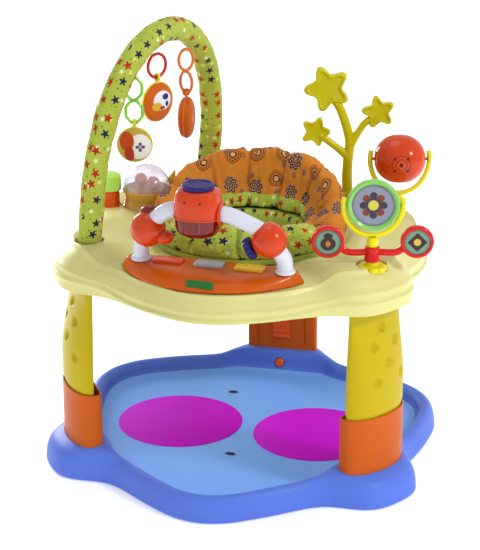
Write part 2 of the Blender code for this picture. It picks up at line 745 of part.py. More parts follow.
def tray_section(angle):
    beside_ball = LEG_ANGLES["right"] < angle % 360.0 or angle % 360.0 < LEG_ANGLES["rear"]
    rim = lobed_radius(angle, TRAY_LOBE, TRAY_WAIST, TRAY_SIDE_NOSE if beside_ball else TRAY_NOSE)
    front, lobe = console_share(angle), lobe_share(angle)
    pad = 1 - smooth(1.0 * CORNER_ANGLE, 1.25 * CORNER_ANGLE, fold_angle(angle))
    edge = mix(EDGE_WIDTH, LOBE_EDGE_WIDTH, lobe)
    ridge = RIDGE_Z + RIDGE_RISE * lobe
    skirt = SKIRT_Z - SKIRT_DROP * lobe
    hump = HUMP_HEIGHT * (1 - smooth(0.0, HUMP_SPREAD * 1.8, abs(angle % 360.0 - HUMP_ANGLE)))
    inner = mix(DECK_Z - 0.006, FRONT_Z, front)
    deck = mix(DECK_Z + LOBE_RISE * lobe, FRONT_Z, front)
    middle = (LEDGE_RADIUS + rim - edge) / 2
    drop = deck - ridge
    pad_inner = mix(rim - edge - 0.006, LEG_CIRCLE - LEG_TOP_DEPTH - 0.006, pad)

    def under(height):
        return mix(height - TRAY_WALL, min(height - TRAY_WALL, LEG_PAD_Z), pad)

    top = [(TRAY_HOLE, LEDGE_Z - COLLAR_DROP), (TRAY_HOLE, LEDGE_Z - 0.001), (LEDGE_RADIUS, mix(LEDGE_Z, FRONT_Z, front)),
           (LEDGE_RADIUS + 0.009, inner), (middle, deck - 0.001 + hump), (rim - edge, deck + 0.4 * hump),
           (rim - 0.50 * edge, deck - 0.16 * drop), (rim - 0.20 * edge, deck - 0.50 * drop), (rim, ridge)]
    side = [(rim + 0.0012, ridge - 0.003), (rim, skirt), (rim - TRAY_WALL, skirt), (rim - TRAY_WALL - 0.001, ridge - 0.004)]
    bottom = [(rim - 0.20 * edge - TRAY_WALL, under(deck - 0.50 * drop - 0.002)),
              (rim - 0.50 * edge - TRAY_WALL, under(deck - 0.16 * drop)), (pad_inner, under(deck)),
              (min(middle, pad_inner - 0.012), deck - 0.001 + 0.9 * hump - TRAY_WALL),
              (LEDGE_RADIUS + 0.008, min(inner, LEDGE_Z) - TRAY_WALL - 0.002),
              (TRAY_HOLE + TRAY_WALL, min(inner, LEDGE_Z) - TRAY_WALL - 0.002),
              (TRAY_HOLE + TRAY_WALL, LEDGE_Z - COLLAR_DROP)]
    return [polar(r, angle, z) for r, z in top + side + bottom]


def toy_seat(x, y, radius):
    """A shallow round seat in the tray's top, its flats clear of the radius."""
    sides = 14
    return rod(radius / cos(pi / sides), (x, y, TOY_SEAT_Z), (x, y, TOY_SEAT_Z + 0.05), sides)


def build_tray():
    tray = add("tray", skin([tray_section(a) for a in around_angles()], ring=True), "cream")
    grow = RUN_GAP
    seats = [toy_seat(*ARCH_FRONT, ARCH_SLEEVE_RADIUS + 0.004), toy_seat(*ARCH_REAR, ARCH_SLEEVE_RADIUS + 0.004),
             toy_seat(SPINNER_X, SPINNER_Y, 0.0255 + grow), toy_seat(BALL_X, BALL_Y, 0.016 + grow),
             toy_seat(TREE_X, TREE_Y, 0.020 + grow), toy_seat(MUSIC_X, MUSIC_Y, 0.045 + grow),
             toy_seat(PLUNGER_X, PLUNGER_Y, PLUNGER_BODY_RADIUS + 0.003 + grow)]
    cut(tray, *seats)


# Seat

def build_seat_ring():
    """The swivel ring; three hooks reach under the tray's collar and keep it down."""
    low = LEDGE_Z + TOUCH_GAP
    hook_top = LEDGE_Z - COLLAR_DROP - RUN_GAP
    hook_low = hook_top - 0.006
    outer = SEAT_RING_BORE + SEAT_COLLAR_WALL
    profile = [(SEAT_RING_BORE, SEAT_RING_TOP), (SEAT_RADIUS, SEAT_RING_TOP), (SEAT_RADIUS, low), (outer, low),
               (outer, hook_low), (SEAT_RING_BORE, hook_low)]
    ring = add("seat_ring", turned(profile, 32, closed=True), "frame_grey")
    reach = TRAY_HOLE + TRAY_WALL - outer + 0.002
    hooks = []
    for angle in (30, 150, 270):
        hook = box((reach, 0.012, hook_top - hook_low - 0.0005),
                   (outer - 0.002 + reach / 2, 0, (hook_top + hook_low) / 2))
        hooks.append(moved(hook, Matrix.Rotation(radians(angle), 4, "Z")))
    fuse(ring, *hooks)


def channel_share(angle):
    """1 on a sewn channel of the padded seat, 0 on the puffed panels between."""
    away = abs((angle - 90.0 + CHANNEL_PITCH / 2) % CHANNEL_PITCH - CHANNEL_PITCH / 2)
    return 1 - smooth(0.0, 0.42 * CHANNEL_PITCH, away)


def padded_section(angle, outline):
    """A seat section whose puffed sides draw in at each channel."""
    centre_r = sum(r for r, z in outline) / len(outline)
    centre_z = sum(z for r, z in outline) / len(outline)
    draw = CHANNEL_DEPTH * channel_share(angle)
    points = []
    for index, (r, z) in enumerate(outline):
        if 0 < index < len(outline) - 1:
            r, z = mix(r, centre_r, draw), mix(z, centre_z, 0.5 * draw)
        points.append(polar(r, angle, z))
    return points


def build_seat_back():
    low = SEAT_RING_TOP + TOUCH_GAP
    rise = BACK_CREST_Z - FRONT_CREST_Z
    crest_knots = [(0.0, BACK_CREST_Z), (35.0, BACK_CREST_Z - 0.10 * rise), (62.0, BACK_CREST_Z - 0.50 * rise),
                   (85.0, BACK_CREST_Z - 1.02 * rise), (SEAT_SPLIT, BACK_CREST_Z - 1.32 * rise)]
    steps = 38
    sections = []
    for step in range(steps + 1):
        away = mix(-SEAT_SPLIT + 0.2, SEAT_SPLIT - 0.2, step / steps)
        crest = through(crest_knots, abs(away))
        tall = crest - low
        lip = CUSHION_LIP_Z
        outline = [(SEAT_RADIUS - 0.002, low), (SEAT_RADIUS, low + 0.16 * tall), (SEAT_RADIUS - 0.001, low + 0.55 * tall),
                   (SEAT_RADIUS - 0.003, crest - 0.012), (SEAT_RADIUS - 0.010, crest - 0.002),
                   (SEAT_RADIUS - 0.021, crest), (SEAT_RADIUS - 0.032, crest - 0.006),
                   (SEAT_RADIUS - 0.041, mix(lip, crest, 0.66)), (CUSHION_INNER + 0.014, mix(lip, crest, 0.34)),
                   (CUSHION_INNER + 0.001, lip + 0.008), (CUSHION_INNER + 0.004, lip - 0.003),
                   (SEAT_RING_BORE + 0.002, low)]
        sections.append(padded_section(90.0 + away, outline))
    add("seat_back_cushion", skin(sections), "seat_orange")


def build_seat_front():
    low = SEAT_RING_TOP + TOUCH_GAP
    half = 180.0 - SEAT_SPLIT
    steps = 22
    sections = []
    for step in range(steps + 1):
        away = mix(-half + 0.2, half - 0.2, step / steps)
        crest = FRONT_CREST_Z - 0.010 * smooth(0.3, 1.0, abs(away) / half)
        outline = [(SEAT_RADIUS - 0.003, low), (SEAT_RADIUS - 0.002, low + 0.012), (SEAT_RADIUS - 0.009, crest - 0.012),
                   (SEAT_RADIUS - 0.022, crest - 0.001), (SEAT_RADIUS - 0.038, crest), (SEAT_RADIUS - 0.054, crest - 0.010),
                   (CUSHION_INNER + 0.002, CUSHION_LIP_Z + 0.008), (CUSHION_INNER + 0.005, CUSHION_LIP_Z - 0.003),
                   (SEAT_RING_BORE + 0.002, low)]
        sections.append(padded_section(270.0 + away, outline))
    add("seat_front_cushion", skin(sections), "seat_green")


def build_sling():
    """The hanging seat: a cloth bowl with two leg holes, held by the ring."""
    rim_z = SEAT_RING_TOP - 0.010
    lip = CUSHION_INNER - 0.002
    deep = rim_z - SLING_BOTTOM_Z
    outer_side = [(SEAT_RING_BORE - TOUCH_GAP - 0.001, rim_z - SLING_WALL), (lip + 0.008, CUSHION_LIP_Z - 0.008 - SLING_WALL),
                  (lip - 0.004, rim_z + 0.004 - SLING_WALL), (lip - 0.007, rim_z - 0.25 * deep),
                  (0.85 * lip, rim_z - 0.55 * deep), (0.66 * lip, rim_z - 0.80 * deep), (0.36 * lip, rim_z - 0.95 * deep),
                  (0.0, SLING_BOTTOM_Z)]
    inner_side = [(0.0, SLING_BOTTOM_Z + SLING_WALL), (0.34 * lip, rim_z - 0.95 * deep + SLING_WALL),
                  (0.66 * lip - 0.8 * SLING_WALL, rim_z - 0.80 * deep + 0.7 * SLING_WALL),
                  (0.85 * lip - SLING_WALL, rim_z - 0.55 * deep), (lip - 0.007 - SLING_WALL, rim_z - 0.25 * deep),
                  (lip - 0.006 - SLING_WALL, rim_z + 0.004), (lip + 0.006, CUSHION_LIP_Z - 0.008),
                  (SEAT_RING_BORE - TOUCH_GAP - 0.001, rim_z)]
    sling = add("seat_sling", turned(outer_side + inner_side, 24), "seat_green")
    sling_bm = bmesh.new()
    sling_bm.from_mesh(sling.data)
    bmesh.ops.remove_doubles(sling_bm, verts=sling_bm.verts, dist=0.00001)
    loose = [edge for edge in sling_bm.edges if edge.is_boundary]
    bmesh.ops.bridge_loops(sling_bm, edges=loose)
    bmesh.ops.recalc_face_normals(sling_bm, faces=sling_bm.faces)
    sling_bm.to_mesh(sling.data)
    sling_bm.free()
    holes = []
    for s in (-1, 1):
        start = Vector((s * 0.6 * LEG_HOLE_SPREAD, 0.0, rim_z - 0.52 * deep))
        end = Vector((s * 1.2 * LEG_HOLE_SPREAD, -0.14, rim_z - 0.95 * deep))
        holes.append(rod(LEG_HOLE_RADIUS, start, end, 16))
    cut(sling, *holes)


# Console

def console_station():
    return station("console", (0, 0, 0), CONSOLE_TURN)


def arc_y(x, middle_y, tip_y, half_chord):
    """Height of the arc through (0, middle) and (+-half chord, tip) at x."""
    sag = tip_y - middle_y
    radius = (half_chord ** 2 + sag ** 2) / (2 * abs(sag))
    side = 1 if sag > 0 else -1
    return middle_y + side * (radius - sqrt(max(radius ** 2 - x ** 2, 0.0)))


def console_section(x):
    front = arc_y(x, CONSOLE_FRONT_Y, CONSOLE_TIP_Y - 0.003, CONSOLE_TIP)
    back = arc_y(x, CONSOLE_BACK_Y, CONSOLE_TIP_Y + 0.003, CONSOLE_TIP)
    depth = back - front
    full = CONSOLE_BACK_Y - CONSOLE_FRONT_Y
    share = depth / full
    low = FRONT_Z + TOUCH_GAP
    top = mix(low + 0.004, CONSOLE_TOP_Z, smooth(0.04, 0.28, share))
    slope = min(0.045, 0.42 * depth)
    outline = [(front, low), (front - 0.0005, low + 0.25 * (top - low)), (front + 0.12 * slope, mix(low, top, 0.50)),
               (front + 0.55 * slope, mix(low, top, 0.85)), (front + slope, top), (back - 0.06 * depth, top),
               (back - 0.01 * depth, mix(low, top, 0.8)), (back, low)]
    return [(x, y, z) for y, z in outline]


def build_console():
    place = console_station()
    steps = 18
    xs = [-CONSOLE_TIP * cos(pi * step / steps) for step in range(steps + 1)]
    console = add("console_housing", skin([console_section(x) for x in xs]), "console_orange", place)
    width, depth, height = KEY_SIZE
    low = CONSOLE_TOP_Z + KEY_PROUD - height
    pockets = []
    for index in (-1, 0, 1):
        outline = rounded_rectangle(width + 2 * RUN_GAP, depth + 2 * RUN_GAP, 0.005)
        pocket = slab(outline, low - KEY_TRAVEL - TOUCH_GAP, CONSOLE_TOP_Z + 0.03)
        pockets.append(moved(pocket, Matrix.Translation((index * KEY_PITCH, KEY_Y, 0))))
    cut(console, *pockets)
    for index, colour in ((-1, "red"), (0, "grey"), (1, "yellow")):
        outline = rounded_rectangle(width, depth, 0.005)
        key = moved(slab(outline, low, low + height), Matrix.Translation((index * KEY_PITCH, KEY_Y, 0)))
        obj = add(f"key_{colour}", key, f"key_{colour}", place, (index * KEY_PITCH, KEY_Y, low))
        round_edges(obj, 0.0015, 1)


def bar_path(side):
    """Half of the toy bar's centre line in the console's frame, from a foot to the straight under the head."""
    foot_x, ball_x, s = BAR_FOOT_X[side], BAR_BALL_X[side], SIDES[side]
    foot_z = CONSOLE_TOP_Z + TOUCH_GAP + 0.6 * BAR_FLANGE
    straight = HEAD_HALF[0] + 0.005
    knots = [(foot_x, BAR_FOOT_Y, foot_z), (mix(foot_x, ball_x, 0.05), BAR_FOOT_Y - 0.004, foot_z + 0.020),
             (mix(foot_x, ball_x, 0.40), mix(BAR_FOOT_Y, BAR_BALL_Y, 0.7), BAR_BALL_Z - 0.018),
             (ball_x - 0.006 * s, BAR_BALL_Y, BAR_BALL_Z + 0.010),
             (mix(ball_x, HEAD_X + straight * s, 0.58), BAR_TOP_Y, BAR_TOP_Z - 0.009),
             (HEAD_X + straight * s, BAR_TOP_Y, BAR_TOP_Z)]
    return [Vector(knot) for knot in knots]


def smooth_path(knots, steps):
    """Points along a Catmull-Rom curve through the knots."""
    padded = [2 * knots[0] - knots[1], *knots, 2 * knots[-1] - knots[-2]]
    points = []
    for a, b, c, d in zip(padded, padded[1:], padded[2:], padded[3:]):
        for step in range(steps):
            t = step / steps
            points.append(0.5 * (2 * b + (c - a) * t + (2 * a - 5 * b + 4 * c - d) * t ** 2
                                 + (3 * b - a - 3 * c + d) * t ** 3))
    points.append(knots[-1])
    return points


def bar_points():
    return smooth_path([*bar_path("left"), Vector((HEAD_X, BAR_TOP_Y, BAR_TOP_Z)), *bar_path("right")[::-1]], 2)


def build_toy_bar():
    place = console_station()
    points = bar_points()
    flange = [Vector((x, BAR_FOOT_Y, CONSOLE_TOP_Z + TOUCH_GAP)) for x in BAR_FOOT_X.values()]
    bar = add("toy_bar", tube(points, BAR_RADIUS, 2), "bar_white", place)
    fuse(bar, *[rod(BAR_RADIUS + 0.0035, foot, foot + Vector((0, 0, BAR_FLANGE)), 16, BAR_RADIUS + 0.002)
                for foot in flange])

    def bore():
        return tube(points, BAR_RADIUS + RUN_GAP, 2)

    for name, x in BAR_BALL_X.items():
        centre = Vector((x, BAR_BALL_Y, BAR_BALL_Z))
        knuckle = add(f"bar_ball_{name}", ball(BAR_BALL_RADIUS, centre, 18, 10), "toy_orange", place)
        if name == "left":
            nose = centre + Vector((0.030, -0.004, -0.010))
            fuse(knuckle, ball(0.015, nose, 10, 6))
        cut(knuckle, bore())

    ear_centre = Vector((BAR_BALL_X["left"] + 0.002, BAR_BALL_Y + 0.010, BAR_BALL_Z + 0.5 * BAR_BALL_RADIUS + 0.006))
    ear = add("bar_ear", rod(0.018, ear_centre, ear_centre + Vector((-0.002, 0.006, 0.012)), 20, 0.016),
              "dark_red", place)
    cut(ear, ball(BAR_BALL_RADIUS + TOUCH_GAP, (BAR_BALL_X["left"], BAR_BALL_Y, BAR_BALL_Z), 18, 10), bore())

    half_x, half_y, half_z = HEAD_HALF
    top = Vector((HEAD_X, BAR_TOP_Y, BAR_TOP_Z))
    head = add("bar_head", head_shape(top), "toy_orange", place, top)
    cut(head, rod(BAR_RADIUS + 2 * RUN_GAP, top - Vector((0.06, 0, 0)), top + Vector((0.06, 0, 0)), 16))
    hat_low = BAR_TOP_Z + half_z + TOUCH_GAP
    hat_profile = [(0, hat_low + HAT_HEIGHT), (HAT_RADIUS - 0.005, hat_low + HAT_HEIGHT - 0.0005),
                   (HAT_RADIUS - 0.001, hat_low + HAT_HEIGHT - 0.003), (HAT_RADIUS, hat_low + 0.002),
                   (HAT_RADIUS - 0.001, hat_low), (0, hat_low)]
    hat = moved(turned(hat_profile, 20), Matrix.Translation((HEAD_X, BAR_TOP_Y, 0)))
    add("bar_hat", hat, "toy_blue", place, top)

    start = Vector((BAR_BALL_X["right"], BAR_BALL_Y, BAR_BALL_Z))
    axis = Vector((-0.86, -0.12, -0.42)).normalized()
    seat = start + axis * (BAR_BALL_RADIUS - 0.001)
    knob = add("bar_knob", scalloped_disc(KNOB_RADIUS, KNOB_THICKNESS, 9), "toy_blue", place)
    knob.location = seat + axis * RUN_GAP
    knob.rotation_euler = axis.to_track_quat("Z", "Y").to_euler()
    flat = add_cutter("knuckle_flat", rod(KNOB_RADIUS + 0.002, seat, seat + axis * 0.02, 24), place)
    boolean(bpy.data.objects["bar_ball_right"], flat, "DIFFERENCE")
    boolean(knob, add_cutter("knob_bore", bore(), place), "DIFFERENCE")


def head_shape(centre):
    """A pot-like rounded head: wide brow, narrower chin, flat crown for the hat."""
    half_x, half_y, half_z = HEAD_HALF
    rows = ((-1.0, 0.52), (-0.90, 0.74), (-0.70, 0.91), (-0.35, 0.99), (0.05, 1.0), (0.45, 0.98), (0.75, 0.93),
            (0.93, 0.86), (1.0, 0.76))
    loops = []
    for height, width in rows:
        loop = []
        for step in range(16):
            angle = 2 * pi * step / 16
            power = 2 / 2.6
            c, s = cos(angle), sin(angle)
            x = half_x * width * abs(c) ** power * (1 if c > 0 else -1)
            y = half_y * width * abs(s) ** power * (1 if s > 0 else -1)
            loop.append(centre + Vector((x, y, height * half_z)))
        loops.append(loop)
    return skin(loops)


def scalloped_disc(radius, thickness, petals):
    steps = petals * 3
    outline = []
    for step in range(steps):
        angle = 2 * pi * step / steps
        wave = 0.5 + 0.5 * cos(petals * angle)
        reach = radius * (0.86 + 0.14 * sqrt(wave))
        outline.append((reach * cos(angle), reach * sin(angle)))
    return slab(outline, 0.0, thickness)


# Spinner station

def yoke_points(half_width, drop, centre_z, over=14.0):
    points = []
    steps = 14
    for step in range(steps + 1):
        angle = radians(mix(over, -180.0 - over, step / steps))
        points.append(Vector((half_width * cos(angle), 0, centre_z + drop * sin(angle))))
    return points


def upright(mesh, z):
    """Turns a shape made round Z so that its axis lies along Y, at a height."""
    mesh.transform(Matrix.Translation((0, 0, z)) @ Matrix.Rotation(pi / 2, 4, "X"))
    return mesh


def build_spinner():
    place = station("spinner", (SPINNER_X, SPINNER_Y, 0), CAMERA_SIDE_TURN)
    low = TOY_SEAT_Z + TOUCH_GAP
    flower = moved(scalloped_disc(0.0255, 0.009, 8), Matrix.Translation((0, 0, low)))
    base = add("spinner_base", flower, "toy_yellow", place)
    pin = SPINNER_PIN_RADIUS
    stem = turned([(0, SPINNER_PIN_TOP), (pin, SPINNER_PIN_TOP), (pin, SPINNER_SHOULDER_Z), (0.0105, SPINNER_SHOULDER_Z),
                   (0.0125, low + 0.005), (0, low + 0.005)], 14)
    fuse(base, stem)

    hub_low = SPINNER_SHOULDER_Z + TOUCH_GAP
    hub_high = hub_low + HUB_HEIGHT
    bore = pin + RUN_GAP
    hub = turned([(bore, hub_high), (HUB_OUTER, hub_high), (HUB_OUTER + 0.001, hub_low), (bore, hub_low)], 14, closed=True)
    arms = add("spinner_arms", hub, "toy_red", place, (0, 0, hub_low))
    disc_z = mix(hub_low, hub_high, 0.6) + DISC_RISE
    half = DISC_THICKNESS / 2
    recess = DISC_RADIUS - 0.006
    for side, s in (("left", -1), ("right", 1)):
        arm_z = mix(hub_low, hub_high, 0.6)
        arm = tube([Vector((s * (HUB_OUTER - 0.003), 0, arm_z)), Vector((s * 0.030, 0, arm_z)),
                    Vector((s * 0.042, 0, arm_z + 0.001)), Vector((s * 0.052, 0, arm_z + 0.006))], 0.0052, 1)
        disc = moved(upright(disc_ring(DISC_RADIUS, half, recess), disc_z), Matrix.Translation((s * DISC_REACH, 0, 0)))
        fuse(arms, arm, disc)
        insert = upright(disc_plate(recess - TOUCH_GAP, half - 0.0015), disc_z)
        add(f"spinner_insert_{side}", moved(insert, Matrix.Translation((s * DISC_REACH, 0, 0))), "face_white", place,
            (0, 0, hub_low))

    stub_low = hub_high + TOUCH_GAP
    path = yoke_points(MIRROR_YOKE_X, MIRROR_YOKE_DROP, MIRROR_Z)
    yoke = add("mirror_yoke", tube(path, YOKE_ROD, 1), "toy_yellow", place, (0, 0, stub_low))
    fuse(yoke, rod(0.0095, (0, 0, stub_low), (0, 0, MIRROR_Z - MIRROR_YOKE_DROP), 12))
    cut(yoke, rod(bore, (0, 0, stub_low - 0.01), (0, 0, SPINNER_PIN_TOP + TOUCH_GAP), 12), pivot_rod(MIRROR_YOKE_X, MIRROR_Z))

    ring = add("mirror_ring", mirror_ring(), "lime", place, (0, 0, MIRROR_Z))
    pin_end = MIRROR_YOKE_X + 0.001
    fuse(ring, *[rod(PIVOT_RADIUS, (s * (MIRROR_RADIUS - 0.002), 0, MIRROR_Z), (s * pin_end, 0, MIRROR_Z), 8)
                 for s in (-1, 1)])
    plate = upright(disc_plate(MIRROR_BORE - TOUCH_GAP, FACE_THICKNESS), MIRROR_Z)
    add("mirror_plate", plate, "face_white", place, (0, 0, MIRROR_Z))


def disc_ring(radius, half, bore):
    """A thick ring with softened edges."""
    soft = 0.002
    return turned([(bore, half), (radius - soft, half), (radius, half - soft), (radius, -half + soft),
                   (radius - soft, -half), (bore, -half)], 20, closed=True)


def disc_plate(radius, half):
    return turned([(0, half), (radius, half), (radius, -half), (0, -half)], 20)


def pivot_rod(reach, z):
    return rod(PIVOT_RADIUS + RUN_GAP, (-reach - 0.0015, 0, z), (reach + 0.0015, 0, z), 8)


def mirror_ring():
    half = MIRROR_THICKNESS / 2
    outer, inner = MIRROR_RADIUS, MIRROR_BORE
    profile = [(inner, half), (outer - 0.003, half), (outer, half - 0.003), (outer, -half + 0.003),
               (outer - 0.003, -half), (inner, -half)]
    return upright(turned(profile, 28, closed=True), MIRROR_Z)


# Flip ball

def build_flip_ball():
    place = station("flip_ball_station", (BALL_X, BALL_Y, 0), CAMERA_SIDE_TURN)
    low = TOY_SEAT_Z + TOUCH_GAP
    shoulder = 0.419
    pin, pin_top = 0.0045, BALL_Z - BALL_YOKE_DROP + 0.002
    stem = turned([(0, pin_top), (pin, pin_top), (pin, shoulder), (0.008, shoulder), (0.010, low + 0.006),
                   (0.016, low + 0.003), (0.016, low), (0, low)], 14)
    add("ball_stem", stem, "toy_yellow", place)
    stub_low = shoulder + TOUCH_GAP
    yoke = add("ball_yoke", tube(yoke_points(BALL_YOKE_X, BALL_YOKE_DROP, BALL_Z), YOKE_ROD, 1), "toy_yellow", place,
               (0, 0, stub_low))
    fuse(yoke, rod(0.0075, (0, 0, stub_low), (0, 0, BALL_Z - BALL_YOKE_DROP + 0.001), 12))
    bore = pin + RUN_GAP
    cut(yoke, rod(bore, (0, 0, stub_low - 0.01), (0, 0, pin_top + TOUCH_GAP), 12), pivot_rod(BALL_YOKE_X, BALL_Z))
    barrel = [(0, BALL_HALF), (0.25 * BALL_RADIUS, 0.985 * BALL_HALF), (0.55 * BALL_RADIUS, 0.87 * BALL_HALF),
              (0.80 * BALL_RADIUS, 0.64 * BALL_HALF), (0.95 * BALL_RADIUS, 0.36 * BALL_HALF), (BALL_RADIUS, 0.05 * BALL_HALF)]
    profile = barrel + [(r, -h) for r, h in barrel[::-1]]
    body = moved(turned(profile, 20), Matrix.Translation((0, 0, BALL_Z)) @ Matrix.Rotation(pi / 2, 4, "Y"))
    flip = add("flip_ball", body, "toy_orange", place, (0, 0, BALL_Z))
    pin_end = BALL_YOKE_X + 0.001
    fuse(flip, *[rod(PIVOT_RADIUS, (s * (BALL_HALF - 0.003), 0, BALL_Z), (s * pin_end, 0, BALL_Z), 8) for s in (-1, 1)])


# Star tree

def puffy_star(radius, thickness, centre, tilt):
    """A stuffed-looking five-point star with round tips."""
    outline = []
    per_point = 4
    for step in range(5 * per_point):
        share = (step % per_point) / per_point
        away = abs(share - 0.5) * 2
        reach = (0.64, 0.80, 1.0)[round(2 * away)]
        angle = 2 * pi * step / (5 * per_point) + pi / 2 + radians(tilt)
        outline.append((radius * reach * cos(angle), radius * reach * sin(angle)))
    loops = []
    for scale, depth in ((0.60, -1.0), (1.0, -0.35), (1.0, 0.35), (0.60, 1.0)):
        loops.append([centre + Vector((scale * x, depth * thickness / 2, scale * z)) for x, z in outline])
    return skin(loops)


def build_star_tree():
    place = station("star_tree_station", (TREE_X, TREE_Y, 0), CAMERA_SIDE_TURN)
    low = TOY_SEAT_Z + TOUCH_GAP
    centre_z = low + TREE_BALL_RADIUS + 0.003
    cup_high = centre_z + 0.006
    cup = turned([(0, cup_high), (0.0165, cup_high), (0.020, low + 0.004), (0.020, low), (0, low)], 16)
    socket = add("tree_socket", cup, "toy_yellow", place)
    cut(socket, ball(TREE_BALL_RADIUS + RUN_GAP, (0, 0, centre_z), 18, 10))
    pivot = Vector((0, 0, centre_z))
    trunk = smooth_path([Vector(p) for p in ((0, 0, centre_z), (-0.002, 0, 0.450), (-0.001, 0, 0.482), (0.002, 0, 0.515),
                                             (-0.006, 0, 0.550), (-0.018, 0, 0.581), (-0.032, 0, 0.602))], 2)
    radii = [mix(1.0, 0.78, i / (len(trunk) - 1)) for i in range(len(trunk))]
    tree = add("star_tree", ball(TREE_BALL_RADIUS, pivot, 18, 10), "toy_yellow", place, pivot)
    right = smooth_path([Vector(p) for p in ((0.001, 0, 0.508), (0.014, 0, 0.530), (0.028, 0, 0.551), (0.046, 0, 0.564))], 2)
    left = smooth_path([Vector(p) for p in ((-0.001, 0, 0.490), (-0.016, 0, 0.502), (-0.034, 0, 0.516), (-0.052, 0, 0.529))], 2)
    fuse(tree, tube(trunk, TREE_TRUNK, 2, radii), tube(right, TREE_BRANCH, 1), tube(left, TREE_BRANCH, 1),
         puffy_star(0.043, 0.017, Vector((-0.040, 0, 0.6156)), 22), puffy_star(0.028, 0.013, Vector((-0.0606, 0, 0.536)), -20),
         puffy_star(0.031, 0.014, Vector((0.0527, 0, 0.5726)), 12))


# Music toy

def build_music_toy():
    low = TOY_SEAT_Z + TOUCH_GAP
    place = station("music_station", (MUSIC_X, MUSIC_Y, 0), 0)
    base = turned([(0, MUSIC_BASE_TOP), (DOME_RADIUS + 0.001, MUSIC_BASE_TOP), (DOME_RADIUS + 0.002, MUSIC_BASE_TOP - 0.003),
                   (0.041, MUSIC_BASE_TOP - 0.016), (0.042, low + 0.006), (0.045, low + 0.003), (0.045, low), (0, low)], 24)
    add("music_base", base, "music_amber", place)
    floor = MUSIC_BASE_TOP + TOUCH_GAP
    rows = 5
    outer = [(DOME_RADIUS * cos(pi / 2 * i / rows), floor + DOME_RADIUS * sin(pi / 2 * i / rows)) for i in range(rows + 1)]
    inner_radius = DOME_RADIUS - DOME_WALL
    inner = [(inner_radius * cos(pi / 2 * i / rows), floor + inner_radius * sin(pi / 2 * i / rows)) for i in range(rows + 1)]
    add("music_dome", turned(outer[::-1] + inner, 20), "clear", place)
    popper_radius = 0.0115
    for side, s in (("left", -1), ("right", 1)):
        popper = ball(popper_radius, (s * 0.014, -0.008 * s, floor + popper_radius + TOUCH_GAP), 10, 8)
        add(f"music_ball_{side}", popper, "popper_pink", place)

    press = station("plunger_station", (PLUNGER_X, PLUNGER_Y, 0), 0)
    body_top = PLUNGER_TOP_Z - 0.012
    bore = 0.0065
    body = turned([(0, low + 0.004), (bore + RUN_GAP, low + 0.004), (bore + RUN_GAP, body_top),
                   (PLUNGER_BODY_RADIUS, body_top), (PLUNGER_BODY_RADIUS, low + 0.004),
                   (PLUNGER_BODY_RADIUS + 0.003, low + 0.002), (PLUNGER_BODY_RADIUS + 0.003, low), (0, low)], 18)
    add("plunger_housing", body, "toy_orange", press)
    cap_low = PLUNGER_TOP_Z - PLUNGER_CAP_HEIGHT
    inside = PLUNGER_BODY_RADIUS + RUN_GAP
    ceiling = body_top + PLUNGER_TRAVEL + TOUCH_GAP
    pin_low = low + 0.004 + PLUNGER_TRAVEL + TOUCH_GAP
    cap = turned([(0, PLUNGER_TOP_Z + 0.002), (PLUNGER_CAP_RADIUS - 0.004, PLUNGER_TOP_Z + 0.001),
                  (PLUNGER_CAP_RADIUS, PLUNGER_TOP_Z - 0.003), (PLUNGER_CAP_RADIUS, cap_low), (inside, cap_low),
                  (inside, ceiling), (bore, ceiling), (bore, pin_low), (0, pin_low)], 18)
    add("plunger_cap", cap, "lime", press, (0, 0, pin_low))


# Arch and hanging toys

def arch_frame_of_reference():
    front, rear = Vector((*ARCH_FRONT, 0)), Vector((*ARCH_REAR, 0))
    along = (rear - front).normalized()
    across = Vector((along.y, -along.x, 0))
    up = Vector((0, 0, cos(ARCH_LEAN))) + across * sin(ARCH_LEAN)
    return front, rear, along, up


def arch_point(turn):
    """A point of the arch's centre line: 0 at the front spring line, pi at the rear one."""
    front, rear, along, up = arch_frame_of_reference()
    half = (rear - front).length / 2
    middle = (front + rear) / 2 + Vector((0, 0, TOY_SEAT_Z + TOUCH_GAP))
    c, s = cos(turn), sin(turn)
    run = -half * (1 if c > 0 else -1) * abs(c) ** (2 / ARCH_POWER)
    rise = ARCH_STRAIGHT + ARCH_RISE * abs(s) ** (2 / ARCH_POWER)
    return middle + along * run + up * rise


def arch_points(steps):
    front, rear, along, up = arch_frame_of_reference()
    foot = Vector((0, 0, TOY_SEAT_Z + TOUCH_GAP))
    points = [front + foot, front + foot + up * 0.5 * ARCH_STRAIGHT]
    points += [arch_point(pi * step / steps) for step in range(steps + 1)]
    points += [rear + foot + up * 0.5 * ARCH_STRAIGHT, rear + foot]
    return points


def build_arch():
    points = arch_points(24)
    puff = [1.0 - 0.035 * (1 if index % 3 == 0 else 0) for index in range(len(points))]
    foot_z = TOY_SEAT_Z + TOUCH_GAP
    extended = [points[0] - (points[1] - points[0]) * 0.2] + points + [points[-1] - (points[-2] - points[-1]) * 0.2]
    puff = [puff[0], *puff, puff[-1]]
    sleeve = add("arch_sleeve", tube(extended, ARCH_SLEEVE_RADIUS, 3, puff), "arch_green")
    far_box = box((2.0, 2.0, 0.1), (0, 0, foot_z - 0.05))
    fuse(sleeve, *arch_loops())
    cut(sleeve, far_box, tube(extended, ARCH_FRAME_RADIUS + TOUCH_GAP, 1))
    frame = add("arch_frame", tube(extended, ARCH_FRAME_RADIUS, 1), "frame_grey")
    cut(frame, far_box.copy())


# Hanging toys: where they hang along the arch, how far they are turned, and their links

